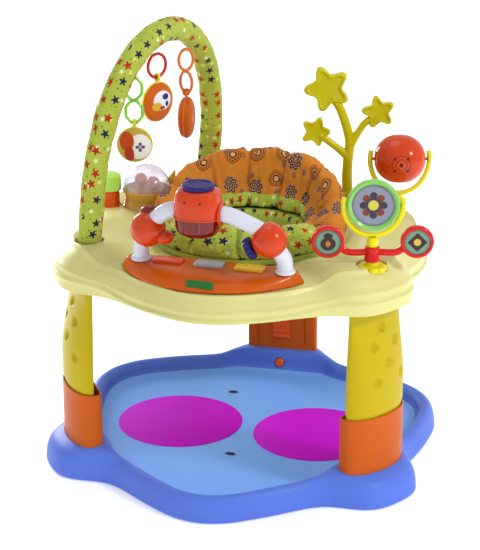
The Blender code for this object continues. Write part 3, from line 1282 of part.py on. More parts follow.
HANGING = {
    "left": {"turn": 1.070, "face": 13.0, "loop": 0.0096},
    "middle": {"turn": 1.445, "face": 58.0, "loop": 0.0100},
    "right": {"turn": 1.925, "face": 95.0, "loop": 0.0081},
}
LONG_LINK_HEIGHT = 0.084
LONG_LINK_WIDTH = 0.034
RING_RADIUS = 0.0235
EYELET_RADIUS = 0.0070
EYELET_THICKNESS = 0.0050


def hanging_station(key):
    spot = arch_point(HANGING[key]["turn"])
    return station(f"hang_{key}", (spot.x, spot.y, 0), HANGING[key]["face"])


def link_top(key):
    """Top of a link, below the sleeve by the loop's free length."""
    spec = HANGING[key]
    return arch_point(spec["turn"]).z - ARCH_SLEEVE_RADIUS - spec["loop"]


def loop_bottom(key):
    """Height of the centre of the loop's lowest stretch."""
    return link_top(key) - 2 * LINK_ROD - LOOP_ROD - RUN_GAP


def arch_loops():
    """Three stitched loops under the arch; each link hangs through one."""
    meshes = []
    for key, spec in HANGING.items():
        spot = arch_point(spec["turn"])
        low = loop_bottom(key)
        root = spot.z - 0.72 * ARCH_SLEEVE_RADIUS
        path = [Vector((0, LOOP_HALF, root))]
        for step in range(7):
            angle = pi * step / 6
            path.append(Vector((0, LOOP_HALF * cos(angle), low + LOOP_HALF * (1 - sin(angle)))))
        path.append(Vector((0, -LOOP_HALF, root)))
        shape = tube(path, LOOP_ROD, 0)
        place = Matrix.Translation((spot.x, spot.y, 0)) @ Matrix.Rotation(radians(spec["face"]), 4, "Z")
        meshes.append(moved(shape, place))
    return meshes


def oval_link(width, height, centre_z):
    """A round-wire link: width and height are to the wire's outside."""
    a, b = width / 2 - LINK_ROD, height / 2 - LINK_ROD
    steps = 14
    points = [Vector((a * cos(2 * pi * i / steps), 0, centre_z + b * sin(2 * pi * i / steps))) for i in range(steps)]
    return tube(points, LINK_ROD, 1, cyclic=True)


def hexagon_link(width, height, centre_z):
    """A link bent from round wire into a long hexagon, its top and bottom corners cut flat."""
    a, b = width / 2 - LINK_ROD, height / 2 - LINK_ROD
    corners = ((-0.28, 1), (0.28, 1), (1, 0.42), (1, -0.42), (0.28, -1), (-0.28, -1), (-1, -0.42), (-1, 0.42))
    return tube([Vector((a * x, 0, centre_z + b * z)) for x, z in corners], LINK_ROD, 1, cyclic=True)


def link_low(key):
    tall = 2 * RING_RADIUS if key == "middle" else LONG_LINK_HEIGHT
    return link_top(key) - tall


def eyelet(key, neck_low):
    """The toy's loop round the link's lowest stretch, with its neck down to the toy."""
    wire_z = link_low(key) + LINK_ROD
    bore = LINK_ROD + RUN_GAP
    half = EYELET_THICKNESS / 2
    ring = turned([(bore, half), (EYELET_RADIUS, half), (EYELET_RADIUS, -half), (bore, -half)], 12, closed=True)
    ring.transform(Matrix.Translation((0, 0, wire_z)) @ Matrix.Rotation(pi / 2, 4, "Y"))
    neck = box((EYELET_THICKNESS, 0.009, wire_z - EYELET_RADIUS + 0.0025 - neck_low),
               (0, 0, (wire_z - EYELET_RADIUS + 0.0025 + neck_low) / 2))
    return ring, neck, wire_z


def build_link(key, name, slot):
    place = hanging_station(key)
    top = link_top(key)
    pivot = (0, 0, loop_bottom(key))
    if key == "middle":
        add(name, oval_link(2 * RING_RADIUS, 2 * RING_RADIUS, top - RING_RADIUS), slot, place, pivot)
        return
    half = LONG_LINK_HEIGHT / 2 + 0.6 * LINK_ROD
    shape = hexagon_link if key == "left" else oval_link
    upper = shape(LONG_LINK_WIDTH, half, top - half / 2)
    lower = shape(LONG_LINK_WIDTH, half, top - LONG_LINK_HEIGHT + half / 2)
    link = add(name, upper, slot, place, pivot)
    fuse(link, lower)


def pillow(radius, thickness, centre_z, height_scale=1.0, rows=4, steps=16):
    """A stuffed round pillow standing upright: full in the middle, drawn in to its seam."""
    loops = []
    for row in range(-rows, rows + 1):
        share = row / rows
        reach = radius * sqrt(1 - abs(share) ** 2.2) if abs(share) < 1 else 0.12 * radius
        reach = max(reach, 0.12 * radius)
        y = thickness / 2 * (1 if share > 0 else -1) * abs(share) ** 1.15
        loops.append([Vector((reach * cos(2 * pi * i / steps), y, centre_z + height_scale * reach * sin(2 * pi * i / steps)))
                      for i in range(steps)])
    return skin(loops)


def build_plush(key, name, slot, radius, thickness, tall=1.0, tail=False):
    place = hanging_station(key)
    ring, neck, wire_z = eyelet(key, wire_low(key))
    centre_z = wire_low(key) - radius * tall + 0.004
    toy = add(name, pillow(radius, thickness, centre_z, tall), slot, place, (0, 0, wire_z))
    fuse(toy, neck, ring)


def wire_low(key):
    """Height at which the toy's body starts below its eyelet."""
    return link_low(key) + LINK_ROD - EYELET_RADIUS - 0.006


def build_hanging_toys():
    build_link("left", "link_green", "lime")
    build_link("middle", "link_red", "dark_red")
    build_link("right", "link_orange", "toy_orange")
    build_plush("left", "plush_round", "plush_lime", 0.0300, 0.026)
    build_plush("middle", "plush_disc", "plush_orange", 0.0345, 0.020)
    build_plush("right", "plush_oval", "plush_orange", 0.0330, 0.030, 1.12)


def main():
    build_base()
    build_foot_mats()
    build_legs()
    build_lock_buttons()
    build_latches()
    build_tray()
    build_seat_ring()
    build_seat_back()
    build_seat_front()
    build_sling()
    build_console()
    build_toy_bar()
    build_spinner()
    build_flip_ball()
    build_star_tree()
    build_music_toy()
    build_arch()
    build_hanging_toys()
    bpy.context.view_layer.update()


main()
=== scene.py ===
"""Looks of the baby activity center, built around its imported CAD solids.

Units are metres in the CAD frame: +Z up, the seated child faces -Y. Shapes that part.py cuts in few
facets are rebuilt here finely on the same named sizes, and every surface gets a procedural material.
"""
from math import atan2, cos, degrees, pi, radians, sin, sqrt

import bmesh
import bpy
from mathutils import Matrix, Vector, noise


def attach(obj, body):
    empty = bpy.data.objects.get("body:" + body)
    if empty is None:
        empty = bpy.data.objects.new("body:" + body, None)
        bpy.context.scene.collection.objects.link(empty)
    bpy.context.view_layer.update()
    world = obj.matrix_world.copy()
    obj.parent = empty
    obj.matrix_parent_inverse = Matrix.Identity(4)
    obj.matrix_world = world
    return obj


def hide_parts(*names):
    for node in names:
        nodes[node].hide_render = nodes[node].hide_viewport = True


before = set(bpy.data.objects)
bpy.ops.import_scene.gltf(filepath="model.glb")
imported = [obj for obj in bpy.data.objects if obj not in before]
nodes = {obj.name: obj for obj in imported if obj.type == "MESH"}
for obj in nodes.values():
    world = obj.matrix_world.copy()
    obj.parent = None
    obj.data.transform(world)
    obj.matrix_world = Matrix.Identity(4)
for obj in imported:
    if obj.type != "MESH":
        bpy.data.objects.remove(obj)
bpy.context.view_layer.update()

# Camera, solved from the photograph
CAMERA_AZIMUTH = 0.23206
CAMERA_ELEVATION = 0.33447
CAMERA_DISTANCE = 3.2
CAMERA_TARGET = Vector((0.0, 0.0, 0.35))
PHOTO_WIDTH, PHOTO_HEIGHT = 480, 550
FOCAL_PIXELS = 1810.34
CENTRE_X, CENTRE_Y = 247.73, 255.58
SENSOR_WIDTH = 36.0

# Sizes shared with the CAD
TOUCH_GAP = 0.0003
RUN_GAP = 0.0006
LEG_CIRCLE = 0.305
LEG_ANGLES = {"rear": 90.0, "left": 213.0, "right": 327.0}
HALF_FOLD = 60.0
LOBE_FOLD = 27.0
SOCKET_HALF_WIDTH = 0.0683
SOCKET_OUTER_DEPTH = 0.0333
SOCKET_INNER_DEPTH = 0.0168
SOCKET_TUBE_WALL = 0.003
SOCKET_TUBE_TOP_Z = 0.153
SOCKET_SEAT_Z = 0.016
SOCKET_TOP_Z = 0.066
SOCKET_WALL = 0.017
SLIDE_GAP = 0.0010
BUTTON_RADIUS = 0.0085
BUTTON_Z = 0.036
BUTTON_HOLE_RADIUS = 0.0098      # through the base's wall, behind the button
LEG_HALF_WIDTH = 0.066
LEG_INNER_DEPTH = 0.0015
LEG_OUTER_DEPTH = 0.0325
LEG_TOP_DEPTH = 0.013
LEG_INSERT_Z = 0.062
LEG_TOP_Z = 0.3802
LEG_PAD_Z = 0.3805
DIMPLE_RADIUS = 0.0070
DIMPLE_DEPTH = 0.0056
GROOVE_SPACING = 0.092
BASE_LOBE = LEG_CIRCLE + 0.067
BASE_WAIST = LEG_CIRCLE + 0.005
BASE_NOSE = LEG_CIRCLE + 0.050
BASE_RIM_Z = 0.046
BASE_RIM_WIDTH = 0.034
BASE_FLOOR_Z = 0.018
MAT_RADIUS = 0.114
MAT_SPREAD = 0.127
MAT_TOP_Z = 0.019
TRAY_LOBE = LEG_CIRCLE + 0.043
TRAY_WAIST = LEG_CIRCLE + 0.003
TRAY_NOSE = LEG_CIRCLE + 0.028
TRAY_SIDE_NOSE = LEG_CIRCLE + 0.016
TRAY_HOLE = 0.157
TRAY_WALL = 0.004
LEDGE_Z = 0.392
LEDGE_RADIUS = 0.176
COLLAR_DROP = 0.016
FRONT_Z = 0.388
DECK_Z = 0.405
LOBE_RISE = 0.007
RIDGE_Z = 0.352
RIDGE_RISE = 0.013
SKIRT_Z = 0.345
SKIRT_DROP = 0.003
EDGE_WIDTH = 0.027
LOBE_EDGE_WIDTH = 0.052
HUMP_HEIGHT = 0.020
HUMP_ANGLE = 188.0
HUMP_SPREAD = 8.0
CONSOLE_TURN = -3.0
TOY_TURN = 13.0
TOY_LOW = 0.4013


# Profiles start here and not at 0, so that a turned shape's ends are small closed rings
AXIS = 0.0001

# Moulded clips in the base's floor: name, x, y, turn
FLOOR_CLIPS = (("rear", -0.064, 0.150, 10.0), ("front", -0.004, -0.117, 0.0))
# Hollows on a leg: share of its half width, height
DIMPLES = ((0.02, 0.306), (0.48, 0.278), (-0.36, 0.276), (0.10, 0.246), (0.62, 0.218), (-0.34, 0.214))
DIMPLE_SPREAD = 1.55
# Lamps: name, place, target, size, watts
LAMPS = (("key", (2.1, -0.8, 1.9), (0, 0, 0.35), 0.5, 28.0),
         ("low", (-1.6, 1.4, 0.75), (0, 0, 0.02), 0.8, 30.0),
         ("top", (-0.3, 0.2, 2.8), (0, 0, 0.3), 1.4, 9.0))
SOFT_WHITE = (0.93, 0.96, 1.0, 1.0)
SOFT_STRENGTH = 0.72


# Small maths

def smooth(low, high, value):
    share = min(max((value - low) / (high - low), 0.0), 1.0)
    return share * share * (3.0 - 2.0 * share)


def mix(first, second, share):
    return first + (second - first) * share


def through(knots, value):
    """A smooth curve through (position, value) knots, level at both ends."""
    if value <= knots[0][0]:
        return knots[0][1]
    if value >= knots[-1][0]:
        return knots[-1][1]
    slopes = [0.0]
    for before, after in zip(knots, knots[2:]):
        slopes.append((after[1] - before[1]) / (after[0] - before[0]))
    slopes.append(0.0)
    index = max(i for i, knot in enumerate(knots[:-1]) if knot[0] <= value)
    (x0, y0), (x1, y1) = knots[index], knots[index + 1]
    span = x1 - x0
    t = (value - x0) / span
    return ((2 * t ** 3 - 3 * t ** 2 + 1) * y0 + (t ** 3 - 2 * t ** 2 + t) * span * slopes[index]
            + (3 * t ** 2 - 2 * t ** 3) * y1 + (t ** 3 - t ** 2) * span * slopes[index + 1])


def polar(radius, angle, z=0.0):
    return Vector((radius * cos(radians(angle)), radius * sin(radians(angle)), z))


def linear(channel):
    share = channel / 255.0
    return share / 12.92 if share <= 0.04045 else ((share + 0.055) / 1.055) ** 2.4


def rgb(colour):
    return (*[linear(c) for c in colour], 1.0)


def spline(a, b, c, d, t):
    """A point between b and c on a Catmull-Rom curve."""
    return 0.5 * (2 * b + (c - a) * t + (2 * a - 5 * b + 4 * c - d) * t ** 2
                  + (3 * b - a - 3 * c + d) * t ** 3)


def closed_smooth(points, steps):
    size = len(points)
    out = []
    for index in range(size):
        knots = [Vector(points[(index + k - 1) % size]) for k in range(4)]
        out += [spline(*knots, step / steps) for step in range(steps)]
    return out


def signed_power(value, power):
    return abs(value) ** power * (1 if value > 0 else -1)


def circle(radius, z, sides):
    return [Vector((radius * cos(2 * pi * i / sides), radius * sin(2 * pi * i / sides), z))
            for i in range(sides)]


def smooth_path(knots, steps):
    """Points along a Catmull-Rom curve through the knots."""
    knots = [Vector(knot) for knot in knots]
    padded = [2 * knots[0] - knots[1], *knots, 2 * knots[-1] - knots[-2]]
    points = []
    for a, b, c, d in zip(padded, padded[1:], padded[2:], padded[3:]):
        points += [spline(a, b, c, d, step / steps) for step in range(steps)]
    points.append(knots[-1])
    return points


# Materials

class Shader:
    """One material's nodes; a value is a number or another node's output."""

    def __init__(self, name, material=None):
        self.material = material or bpy.data.materials.new(name)
        self.material.use_nodes = True
        self.tree = self.material.node_tree
        self.surface = self.tree.nodes["Principled BSDF"]
        self.bumps = []

    def put(self, value, socket):
        if isinstance(value, bpy.types.NodeSocket):
            self.tree.links.new(value, socket)
        else:
            socket.default_value = value

    def node(self, kind, inputs=None, **settings):
        made = self.tree.nodes.new(kind)
        for key, value in settings.items():
            setattr(made, key, value)
        for key, value in (inputs or {}).items():
            self.put(value, made.inputs[key])
        return made

    def math(self, operation, *values):
        made = self.node("ShaderNodeMath", operation=operation)
        for index, value in enumerate(values):
            self.put(value, made.inputs[index])
        return made.outputs[0]

    def vector(self, operation, *values):
        made = self.node("ShaderNodeVectorMath", operation=operation)
        for index, value in enumerate(values):
            self.put(value, made.inputs[index])
        return made.outputs["Vector"]

    def blend(self, share, first, second):
        made = self.node("ShaderNodeMix", data_type="RGBA")
        self.put(share, made.inputs[0])
        self.put(first, made.inputs[6])
        self.put(second, made.inputs[7])
        return made.outputs[2]

    def noise(self, scale, detail=3.0, where=None):
        made = self.node("ShaderNodeTexNoise", {"Scale": scale, "Detail": detail})
        self.tree.links.new(where or self.place(), made.inputs["Vector"])
        return made.outputs["Fac"]

    def place(self):
        return self.node("ShaderNodeTexCoord").outputs["Object"]

    def uv(self):
        return self.node("ShaderNodeUVMap", uv_map="UVMap").outputs["UV"]

    def ramp(self, value, stops, constant=False):
        made = self.node("ShaderNodeValToRGB")
        made.color_ramp.interpolation = "CONSTANT" if constant else "LINEAR"
        elements = made.color_ramp.elements
        while len(elements) < len(stops):
            elements.new(0.5)
        for element, (position, colour) in zip(elements, stops):
            element.position = position
            element.color = colour if len(colour) == 4 else (*colour, 1.0)
        self.put(value, made.inputs["Fac"])
        return made.outputs["Color"]

    def bump(self, height, distance, strength=1.0):
        made = self.node("ShaderNodeBump", {"Strength": strength, "Distance": distance, "Height": height})
        if self.bumps:
            self.tree.links.new(self.bumps[-1], made.inputs["Normal"])
        self.bumps.append(made.outputs["Normal"])
        self.tree.links.new(self.bumps[-1], self.surface.inputs["Normal"])

    def set(self, **values):
        for key, value in values.items():
            self.put(value, self.surface.inputs[key.replace("_", " ")])
        return self.material


def shade(colour, factor):
    return tuple(min(255, c * factor) for c in colour)


def plastic(name, colour, rough=0.30, coat=0.25, grain=0.00004, clouds=0.05, edge=0.10):
    """Moulded plastic: soft colour drift, convex edges lightened as a painted highlight, a fine moulded grain
    and uneven polish.
    """
    s = Shader(name)
    drift = s.noise(9.0, 3.0)
    tint = s.blend(drift, rgb(shade(colour, 1 - clouds)), rgb(shade(colour, 1 + clouds)))
    # Painted highlight: sharp convex edges, found by pointiness, are lightened towards white, the more the
    # larger edge is.
    pointed = s.node("ShaderNodeNewGeometry").outputs["Pointiness"]
    edge_highlight = s.math("MULTIPLY", s.math("SMOOTH_MAX", s.math("SUBTRACT", pointed, 0.53), 0.0, 0.02), edge * 8)
    s.put(s.blend(edge_highlight, tint, rgb(tuple(mix(c, 250, 0.5) for c in colour))), s.surface.inputs["Base Color"])
    polish = s.math("MULTIPLY_ADD", s.noise(60.0, 4.0), 0.14, rough - 0.07)
    s.put(polish, s.surface.inputs["Roughness"])
    s.bump(s.noise(1500.0, 2.0), grain)
    return s.set(Coat_Weight=0.5 * coat, Coat_Roughness=0.10, Specular_IOR_Level=0.13)


def see_through(name, colour, rough=0.12, transmission=0.6, ior=1.49):
    s = Shader(name)
    drift = s.noise(40.0, 2.0)
    s.put(s.blend(drift, rgb(shade(colour, 0.92)), rgb(shade(colour, 1.06))), s.surface.inputs["Base Color"])
    s.put(s.math("MULTIPLY_ADD", s.noise(80.0, 3.0), 0.06, rough - 0.03), s.surface.inputs["Roughness"])
    s.bump(s.noise(300.0, 2.0), 0.00003)
    return s.set(Transmission_Weight=transmission, IOR=ior, Coat_Weight=0.1, Specular_IOR_Level=0.35)


def weave(s, thread):
    """A plain weave's height from the UV map, in metres."""
    lines = []
    for direction in ("X", "Y"):
        wave = s.node("ShaderNodeTexWave", {"Scale": 0.5 / thread, "Distortion": 0.6, "Detail": 1.0},
                      bands_direction=direction)
        s.tree.links.new(s.uv(), wave.inputs["Vector"])
        lines.append(wave.outputs["Fac"])
    return s.math("MAXIMUM", *lines)


def cell_print(s, cell, jitter, seed):
    """One scattered motif per cell: (distance in cells, turn in revolutions, two random numbers)."""
    shifted = s.vector("ADD", s.uv(), (seed * 0.37, seed * 0.59, 0.0))
    scaled = s.node("ShaderNodeVectorMath", operation="SCALE")
    s.put(shifted, scaled.inputs[0])
    scaled.inputs["Scale"].default_value = 1.0 / cell
    voronoi = s.node("ShaderNodeTexVoronoi", {"Scale": 1.0, "Randomness": jitter}, voronoi_dimensions="2D")
    s.tree.links.new(scaled.outputs[0], voronoi.inputs["Vector"])
    local = s.vector("SUBTRACT", scaled.outputs[0], voronoi.outputs["Position"])
    split = s.node("ShaderNodeSeparateXYZ", {0: local})
    chance = s.node("ShaderNodeSeparateColor", {0: voronoi.outputs["Color"]})
    angle = s.math("DIVIDE", s.math("ARCTAN2", split.outputs[1], split.outputs[0]), 2 * pi)
    turn = s.math("ADD", s.math("ADD", angle, chance.outputs[2]), 1.0)
    return voronoi.outputs["Distance"], turn, chance.outputs[0], chance.outputs[1]


def star_mask(s, distance, turn, radius):
    """1 inside a five-pointed star of that radius, in cells."""
    share = s.math("FRACT", s.math("MULTIPLY", turn, 5.0))
    tip = s.math("MULTIPLY", s.math("ABSOLUTE", s.math("SUBTRACT", share, 0.5)), 2.0)
    reach = s.math("MULTIPLY_ADD", s.math("POWER", tip, 1.35), 0.58, 0.42)
    return s.math("LESS_THAN", distance, s.math("MULTIPLY", reach, radius))


def cloth(name, colour, thread=0.0011, folds=0.0006):
    """Woven cotton: its weave, faint rumples and a soft sheen. The caller adds the print."""
    s = Shader(name)
    s.ground = s.blend(s.noise(14.0, 4.0), rgb(shade(colour, 0.90)), rgb(shade(colour, 1.07)))
    threads = weave(s, thread)
    s.ground = s.blend(s.math("MULTIPLY", threads, 0.16), s.ground, rgb(shade(colour, 0.78)))
    s.bump(threads, 0.00018, 0.8)
    s.bump(s.noise(38.0, 4.0), folds, 0.9)
    s.set(Roughness=0.88, Sheen_Weight=0.10, Sheen_Roughness=0.5, Specular_IOR_Level=0.12)
    return s


def star_cloth(name, colour):
    """Cotton printed with scattered small stars."""
    s = cloth(name, colour)
    painted = s.ground
    layers = ((0.021, 0.90, 7.0, 0.240, 0.55, ((0.0, (222, 214, 96)), (0.55, (218, 230, 176)))),
              (0.029, 0.55, 1.0, 0.290, 0.90, ((0.0, (172, 44, 20)), (0.56, (34, 36, 60)))),
              (0.0135, 0.85, 4.0, 0.150, 0.62,
               ((0.0, (62, 104, 36)), (0.35, (70, 44, 50)), (0.7, (190, 76, 24)))))
    for cell, jitter, seed, radius, chance, colours in layers:
        distance, turn, pick, keep = cell_print(s, cell, jitter, seed)
        mask = s.math("MULTIPLY", star_mask(s, distance, turn, radius), s.math("LESS_THAN", keep, chance))
        ink = s.ramp(pick, [(stop, rgb(c)) for stop, c in colours], constant=True)
        painted = s.blend(mask, painted, ink)
    return s.set(Base_Color=painted)


def ring_cloth(name, colour):
    """Cotton printed with scattered rings and dotted rounds."""
    s = cloth(name, colour, folds=0.0008)
    plain = rgb(colour)
    painted = s.ground
    for cell, jitter, seed, radius, chance in ((0.052, 0.50, 2.0, 0.310, 1.0),
                                               (0.030, 0.85, 9.0, 0.180, 0.45)):
        distance, turn, pick, keep = cell_print(s, cell, jitter, seed)
        share = s.math("DIVIDE", distance, radius)
        inside = s.math("MULTIPLY", s.math("LESS_THAN", share, 1.0), s.math("LESS_THAN", keep, chance))
        rings = s.ramp(share, [(0.0, rgb((222, 168, 96))), (0.30, rgb((84, 44, 40))),
                               (0.50, rgb((206, 126, 52))),
                               (0.66, rgb((100, 46, 34))), (0.78, plain), (0.88, rgb((110, 52, 36)))],
                       constant=True)
        spots = s.math("MULTIPLY", s.math("SINE", s.math("MULTIPLY", turn, 2 * pi * 7)),
                       s.math("SINE", s.math("MULTIPLY", share, 16.0)))
        dotted = s.blend(s.math("GREATER_THAN", spots, 0.35), rgb((74, 48, 66)), rgb((214, 164, 104)))
        motif = s.blend(s.math("GREATER_THAN", pick, 0.52), rings, dotted)
        painted = s.blend(inside, painted, motif)
    return s.set(Base_Color=painted)


def plush(name, colour):
    """Short-pile fabric: fine fuzz and sheen."""
    s = Shader(name)
    tint = s.blend(s.noise(55.0, 4.0), rgb(shade(colour, 0.86)), rgb(shade(colour, 1.08)))
    s.bump(s.noise(900.0, 3.0), 0.0003, 0.8)
    s.bump(s.noise(120.0, 3.0), 0.0006, 0.5)
    return s.set(Base_Color=tint, Roughness=0.95, Sheen_Weight=0.45, Sheen_Roughness=0.4,
                 Specular_IOR_Level=0.2)


def stamped(s, painted, stamps):
    """Flat shapes stacked on a colour by the UV map: the colour, and each shape's mask.

    A stamp is (kind, x, y, half width, half height, colour).
    """
    split = s.node("ShaderNodeSeparateXYZ", {0: s.uv()})
    masks = []
    for kind, x, y, half_x, half_y, colour in stamps:
        across = s.math("ABSOLUTE", s.math("DIVIDE", s.math("SUBTRACT", split.outputs[0], x), half_x))
        up = s.math("ABSOLUTE", s.math("DIVIDE", s.math("SUBTRACT", split.outputs[1], y), half_y))
        if kind == "round":
            reach = s.math("ADD", s.math("MULTIPLY", across, across), s.math("MULTIPLY", up, up))
        else:
            reach = s.math("ADD" if kind == "diamond" else "MAXIMUM", across, up)
        masks.append(s.math("LESS_THAN", reach, 1.0))
        painted = s.blend(masks[-1], painted, rgb(colour))
    return painted, masks


def printed(name, ground, stamps, rough=0.16):
    """A glossy printed face."""
    s = Shader(name)
    ground = s.blend(s.noise(30.0), rgb(shade(ground, 0.95)), rgb(shade(ground, 1.04)))
    painted, _ = stamped(s, ground, stamps)
    s.bump(s.noise(400.0, 2.0), 0.00002)
    return s.set(Base_Color=painted, Roughness=rough, Coat_Weight=0.22, Coat_Roughness=0.05,
                 Specular_IOR_Level=0.15)


# Meshes

def loft(rows, wrap_rows=False, caps=True):
    """A quad grid through closed loops of points, with a UV map in metres."""
    bm = bmesh.new()
    uv = bm.loops.layers.uv.new("UVMap")
    grid = [[bm.verts.new(point) for point in row] for row in rows]
    count = len(rows[0])
    widest = max(rows, key=lambda row: sum((row[i] - row[i - 1]).length for i in range(count)))
    us = [0.0]
    for i in range(count):
        us.append(us[-1] + (widest[(i + 1) % count] - widest[i]).length)
    vs = [0.0]
    for low, high in zip(rows, rows[1:] + rows[:1]):
        vs.append(vs[-1] + sum((high[i] - low[i]).length for i in range(0, count, 4))
                  / len(range(0, count, 4)))
    spans = len(rows) if wrap_rows else len(rows) - 1
    for row in range(spans):
        low, high = grid[row], grid[(row + 1) % len(rows)]
        for i in range(count):
            j = (i + 1) % count
            face = bm.faces.new((low[i], low[j], high[j], high[i]))
            corners = ((i, row), (i + 1, row), (i + 1, row + 1), (i, row + 1))
            for loop, (u, v) in zip(face.loops, corners):
                loop[uv].uv = (us[u], vs[v])
    if caps and not wrap_rows:
        for ring in (grid[0], grid[-1]):
            face = bm.faces.new(ring)
            for loop in face.loops:
                loop[uv].uv = (loop.vert.co.x, loop.vert.co.y)
    return finished(bm)


def finished(bm):
    bmesh.ops.recalc_face_normals(bm, faces=bm.faces)
    if bm.calc_volume(signed=True) < 0:
        bmesh.ops.reverse_faces(bm, faces=bm.faces)
    mesh = bpy.data.meshes.new("shape")
    bm.to_mesh(mesh)
    bm.free()
    return mesh


def rounded_profile(points, radius, steps=3):
    """A (radius, height) profile with its inner corners rounded, where the neighbours leave room."""
    out = [points[0]]
    for before, here, after in zip(points, points[1:], points[2:]):
        a, b, c = Vector(before), Vector(here), Vector(after)
        reach = min(radius, 0.45 * (a - b).length, 0.45 * (c - b).length)
        start, end = b + (a - b).normalized() * reach, b + (c - b).normalized() * reach
        for step in range(steps + 1):
            t = step / steps
            point = start * (1 - t) ** 2 + 2 * b * t * (1 - t) + end * t ** 2
            out.append((point.x, point.y))
    out.append(points[-1])
    return out


def turned(profile, steps=64, closed=False, soft=0.0):
    """A turned shape from (radius, height) points, with corners rounded by soft."""
    if soft:
        if closed:
            profile = rounded_profile([profile[-1], *profile, profile[0]], soft)[1:-1]
        else:
            profile = rounded_profile(profile, soft)
    return loft([circle(r, z, steps) for r, z in profile if closed or r > 1e-6], wrap_rows=closed)


def drum(radius, low, high, sides):
    return turned([(AXIS, low), (radius, low), (radius, high), (AXIS, high)], sides)


def block(size, centre=(0.0, 0.0, 0.0)):
    """A plain box, used only to cut with."""
    mesh = bpy.data.meshes.new("block")
    bm = bmesh.new()
    bmesh.ops.create_cube(bm, size=1.0)
    bmesh.ops.scale(bm, vec=size, verts=bm.verts)
    bmesh.ops.translate(bm, vec=centre, verts=bm.verts)
    bm.to_mesh(mesh)
    bm.free()
    return mesh


def tube(points, radius, sides=24, radii=None, cyclic=False, squash=(1.0, 1.0), up=None):
    """A round tube along points, its frame carried along without twist."""
    count = len(points)
    tangents = []
    for i in range(count):
        before = points[i - 1] if cyclic or i > 0 else points[i]
        after = points[(i + 1) % count] if cyclic or i < count - 1 else points[i]
        tangents.append((after - before).normalized())
    side = (up or Vector((0, 0, 1))).cross(tangents[0])
    if side.length < 0.1:
        side = Vector((1, 0, 0)).cross(tangents[0])
    side.normalize()
    rows = []
    for i, tangent in enumerate(tangents):
        side = (side - tangent * side.dot(tangent)).normalized()
        other = tangent.cross(side)
        reach = radius * (radii[i] if radii else 1.0)
        rows.append([points[i] + reach * (squash[0] * cos(2 * pi * k / sides) * side
                                          + squash[1] * sin(2 * pi * k / sides) * other)
                     for k in range(sides)])
    return loft(rows, wrap_rows=cyclic)


def ball(radius, centre, sides=40, rows=20, scale=(1, 1, 1)):
    loops = []
    for row in range(1, rows):
        angle = pi * row / rows - pi / 2
        loops.append([Vector(centre) + Vector((radius * cos(angle) * cos(2 * pi * i / sides) * scale[0],
                                               radius * cos(angle) * sin(2 * pi * i / sides) * scale[1],
                                               radius * sin(angle) * scale[2])) for i in range(sides)])
    return loft(loops)


def moved(mesh, matrix):
    mesh.transform(matrix)
    return mesh


def joined(*meshes):
    bm = bmesh.new()
    for mesh in meshes:
        bm.from_mesh(mesh)
    made = bpy.data.meshes.new("joined")
    bm.to_mesh(made)
    bm.free()
    return made


def at(x, y, turn=0.0, z=0.0):
    return Matrix.Translation((x, y, z)) @ Matrix.Rotation(radians(turn), 4, "Z")


def upright(z, x=0.0):
    """Turns a shape made round Z so that its axis lies along Y."""
    return Matrix.Translation((x, 0, z)) @ Matrix.Rotation(pi / 2, 4, "X")


def piece(name, mesh, material, body, replaces=(), levels=0, angle=35.0):
    """One visible piece that rides on a CAD body."""
    obj = bpy.data.objects.new(name, mesh)
    bpy.context.scene.collection.objects.link(obj)
    mesh.materials.clear()
    mesh.materials.append(material)
    mesh.shade_smooth()
    if angle:
        mesh.set_sharp_from_angle(angle=radians(angle))
    if levels:
        modifier = obj.modifiers.new("smooth form", "SUBSURF")
        modifier.levels = levels
        modifier.render_levels = levels
    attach(obj, body)
    if replaces:
        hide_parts(*([replaces] if isinstance(replaces, str) else replaces))
    return obj


def cut(obj, *meshes):
    """Cuts meshes out of the piece, and applies its modifiers."""
    cutters = []
    for mesh in meshes:
        cutter = bpy.data.objects.new("cutter", mesh)
        bpy.context.scene.collection.objects.link(cutter)
        modifier = obj.modifiers.new("cut", "BOOLEAN")
        modifier.operation = "DIFFERENCE"
        modifier.solver = "EXACT"
        modifier.object = cutter
        cutters.append(cutter)
    bpy.context.view_layer.update()
    graph = bpy.context.evaluated_depsgraph_get()
    mesh = bpy.data.meshes.new_from_object(obj.evaluated_get(graph))
    obj.modifiers.clear()
    obj.data = mesh
    for cutter in cutters:
        bpy.data.objects.remove(cutter, do_unlink=True)
    mesh.shade_smooth()
    mesh.set_sharp_from_angle(angle=radians(35))
    return obj


# Outlines shared by the base, the legs and the tray

def leg_gaps():
    angles = sorted(LEG_ANGLES.values())
    following = angles[1:] + [angles[0] + 360.0]
    return [(first, (second - first) / 2) for first, second in zip(angles, following)]


def fold_angle(angle):
    """Angle from the nearest leg, 0 at a leg and HALF_FOLD midway between two."""
    for first, half in leg_gaps():
        along = (angle - first) % 360.0
        if along <= 2 * half:
            away = min(along, 2 * half - along)
            if away <= LOBE_FOLD:
                return away
            return LOBE_FOLD + (away - LOBE_FOLD) * (HALF_FOLD - LOBE_FOLD) / (half - LOBE_FOLD)
    return 0.0


AROUND = [360.0 * i / 144 for i in range(144)]
CORNER_ANGLE = degrees(atan2(SOCKET_HALF_WIDTH + 0.024, LEG_CIRCLE))


def lobed_radius(angle, lobe, waist, nose):
    half = HALF_FOLD
    rise = nose - waist
    drop = waist - lobe
    knots = [(0.0, lobe), (0.36 * CORNER_ANGLE, lobe + 0.03 * drop),
             (0.62 * CORNER_ANGLE, lobe + 0.22 * drop),
             (0.84 * CORNER_ANGLE, lobe + 0.58 * drop), (1.08 * CORNER_ANGLE, lobe + 0.89 * drop),
             (1.40 * CORNER_ANGLE, waist), (1.85 * CORNER_ANGLE, waist + 0.10 * rise),
             (0.72 * half, waist + 0.48 * rise), (0.86 * half, waist + 0.84 * rise), (half, nose)]
    return through(knots, fold_angle(angle))


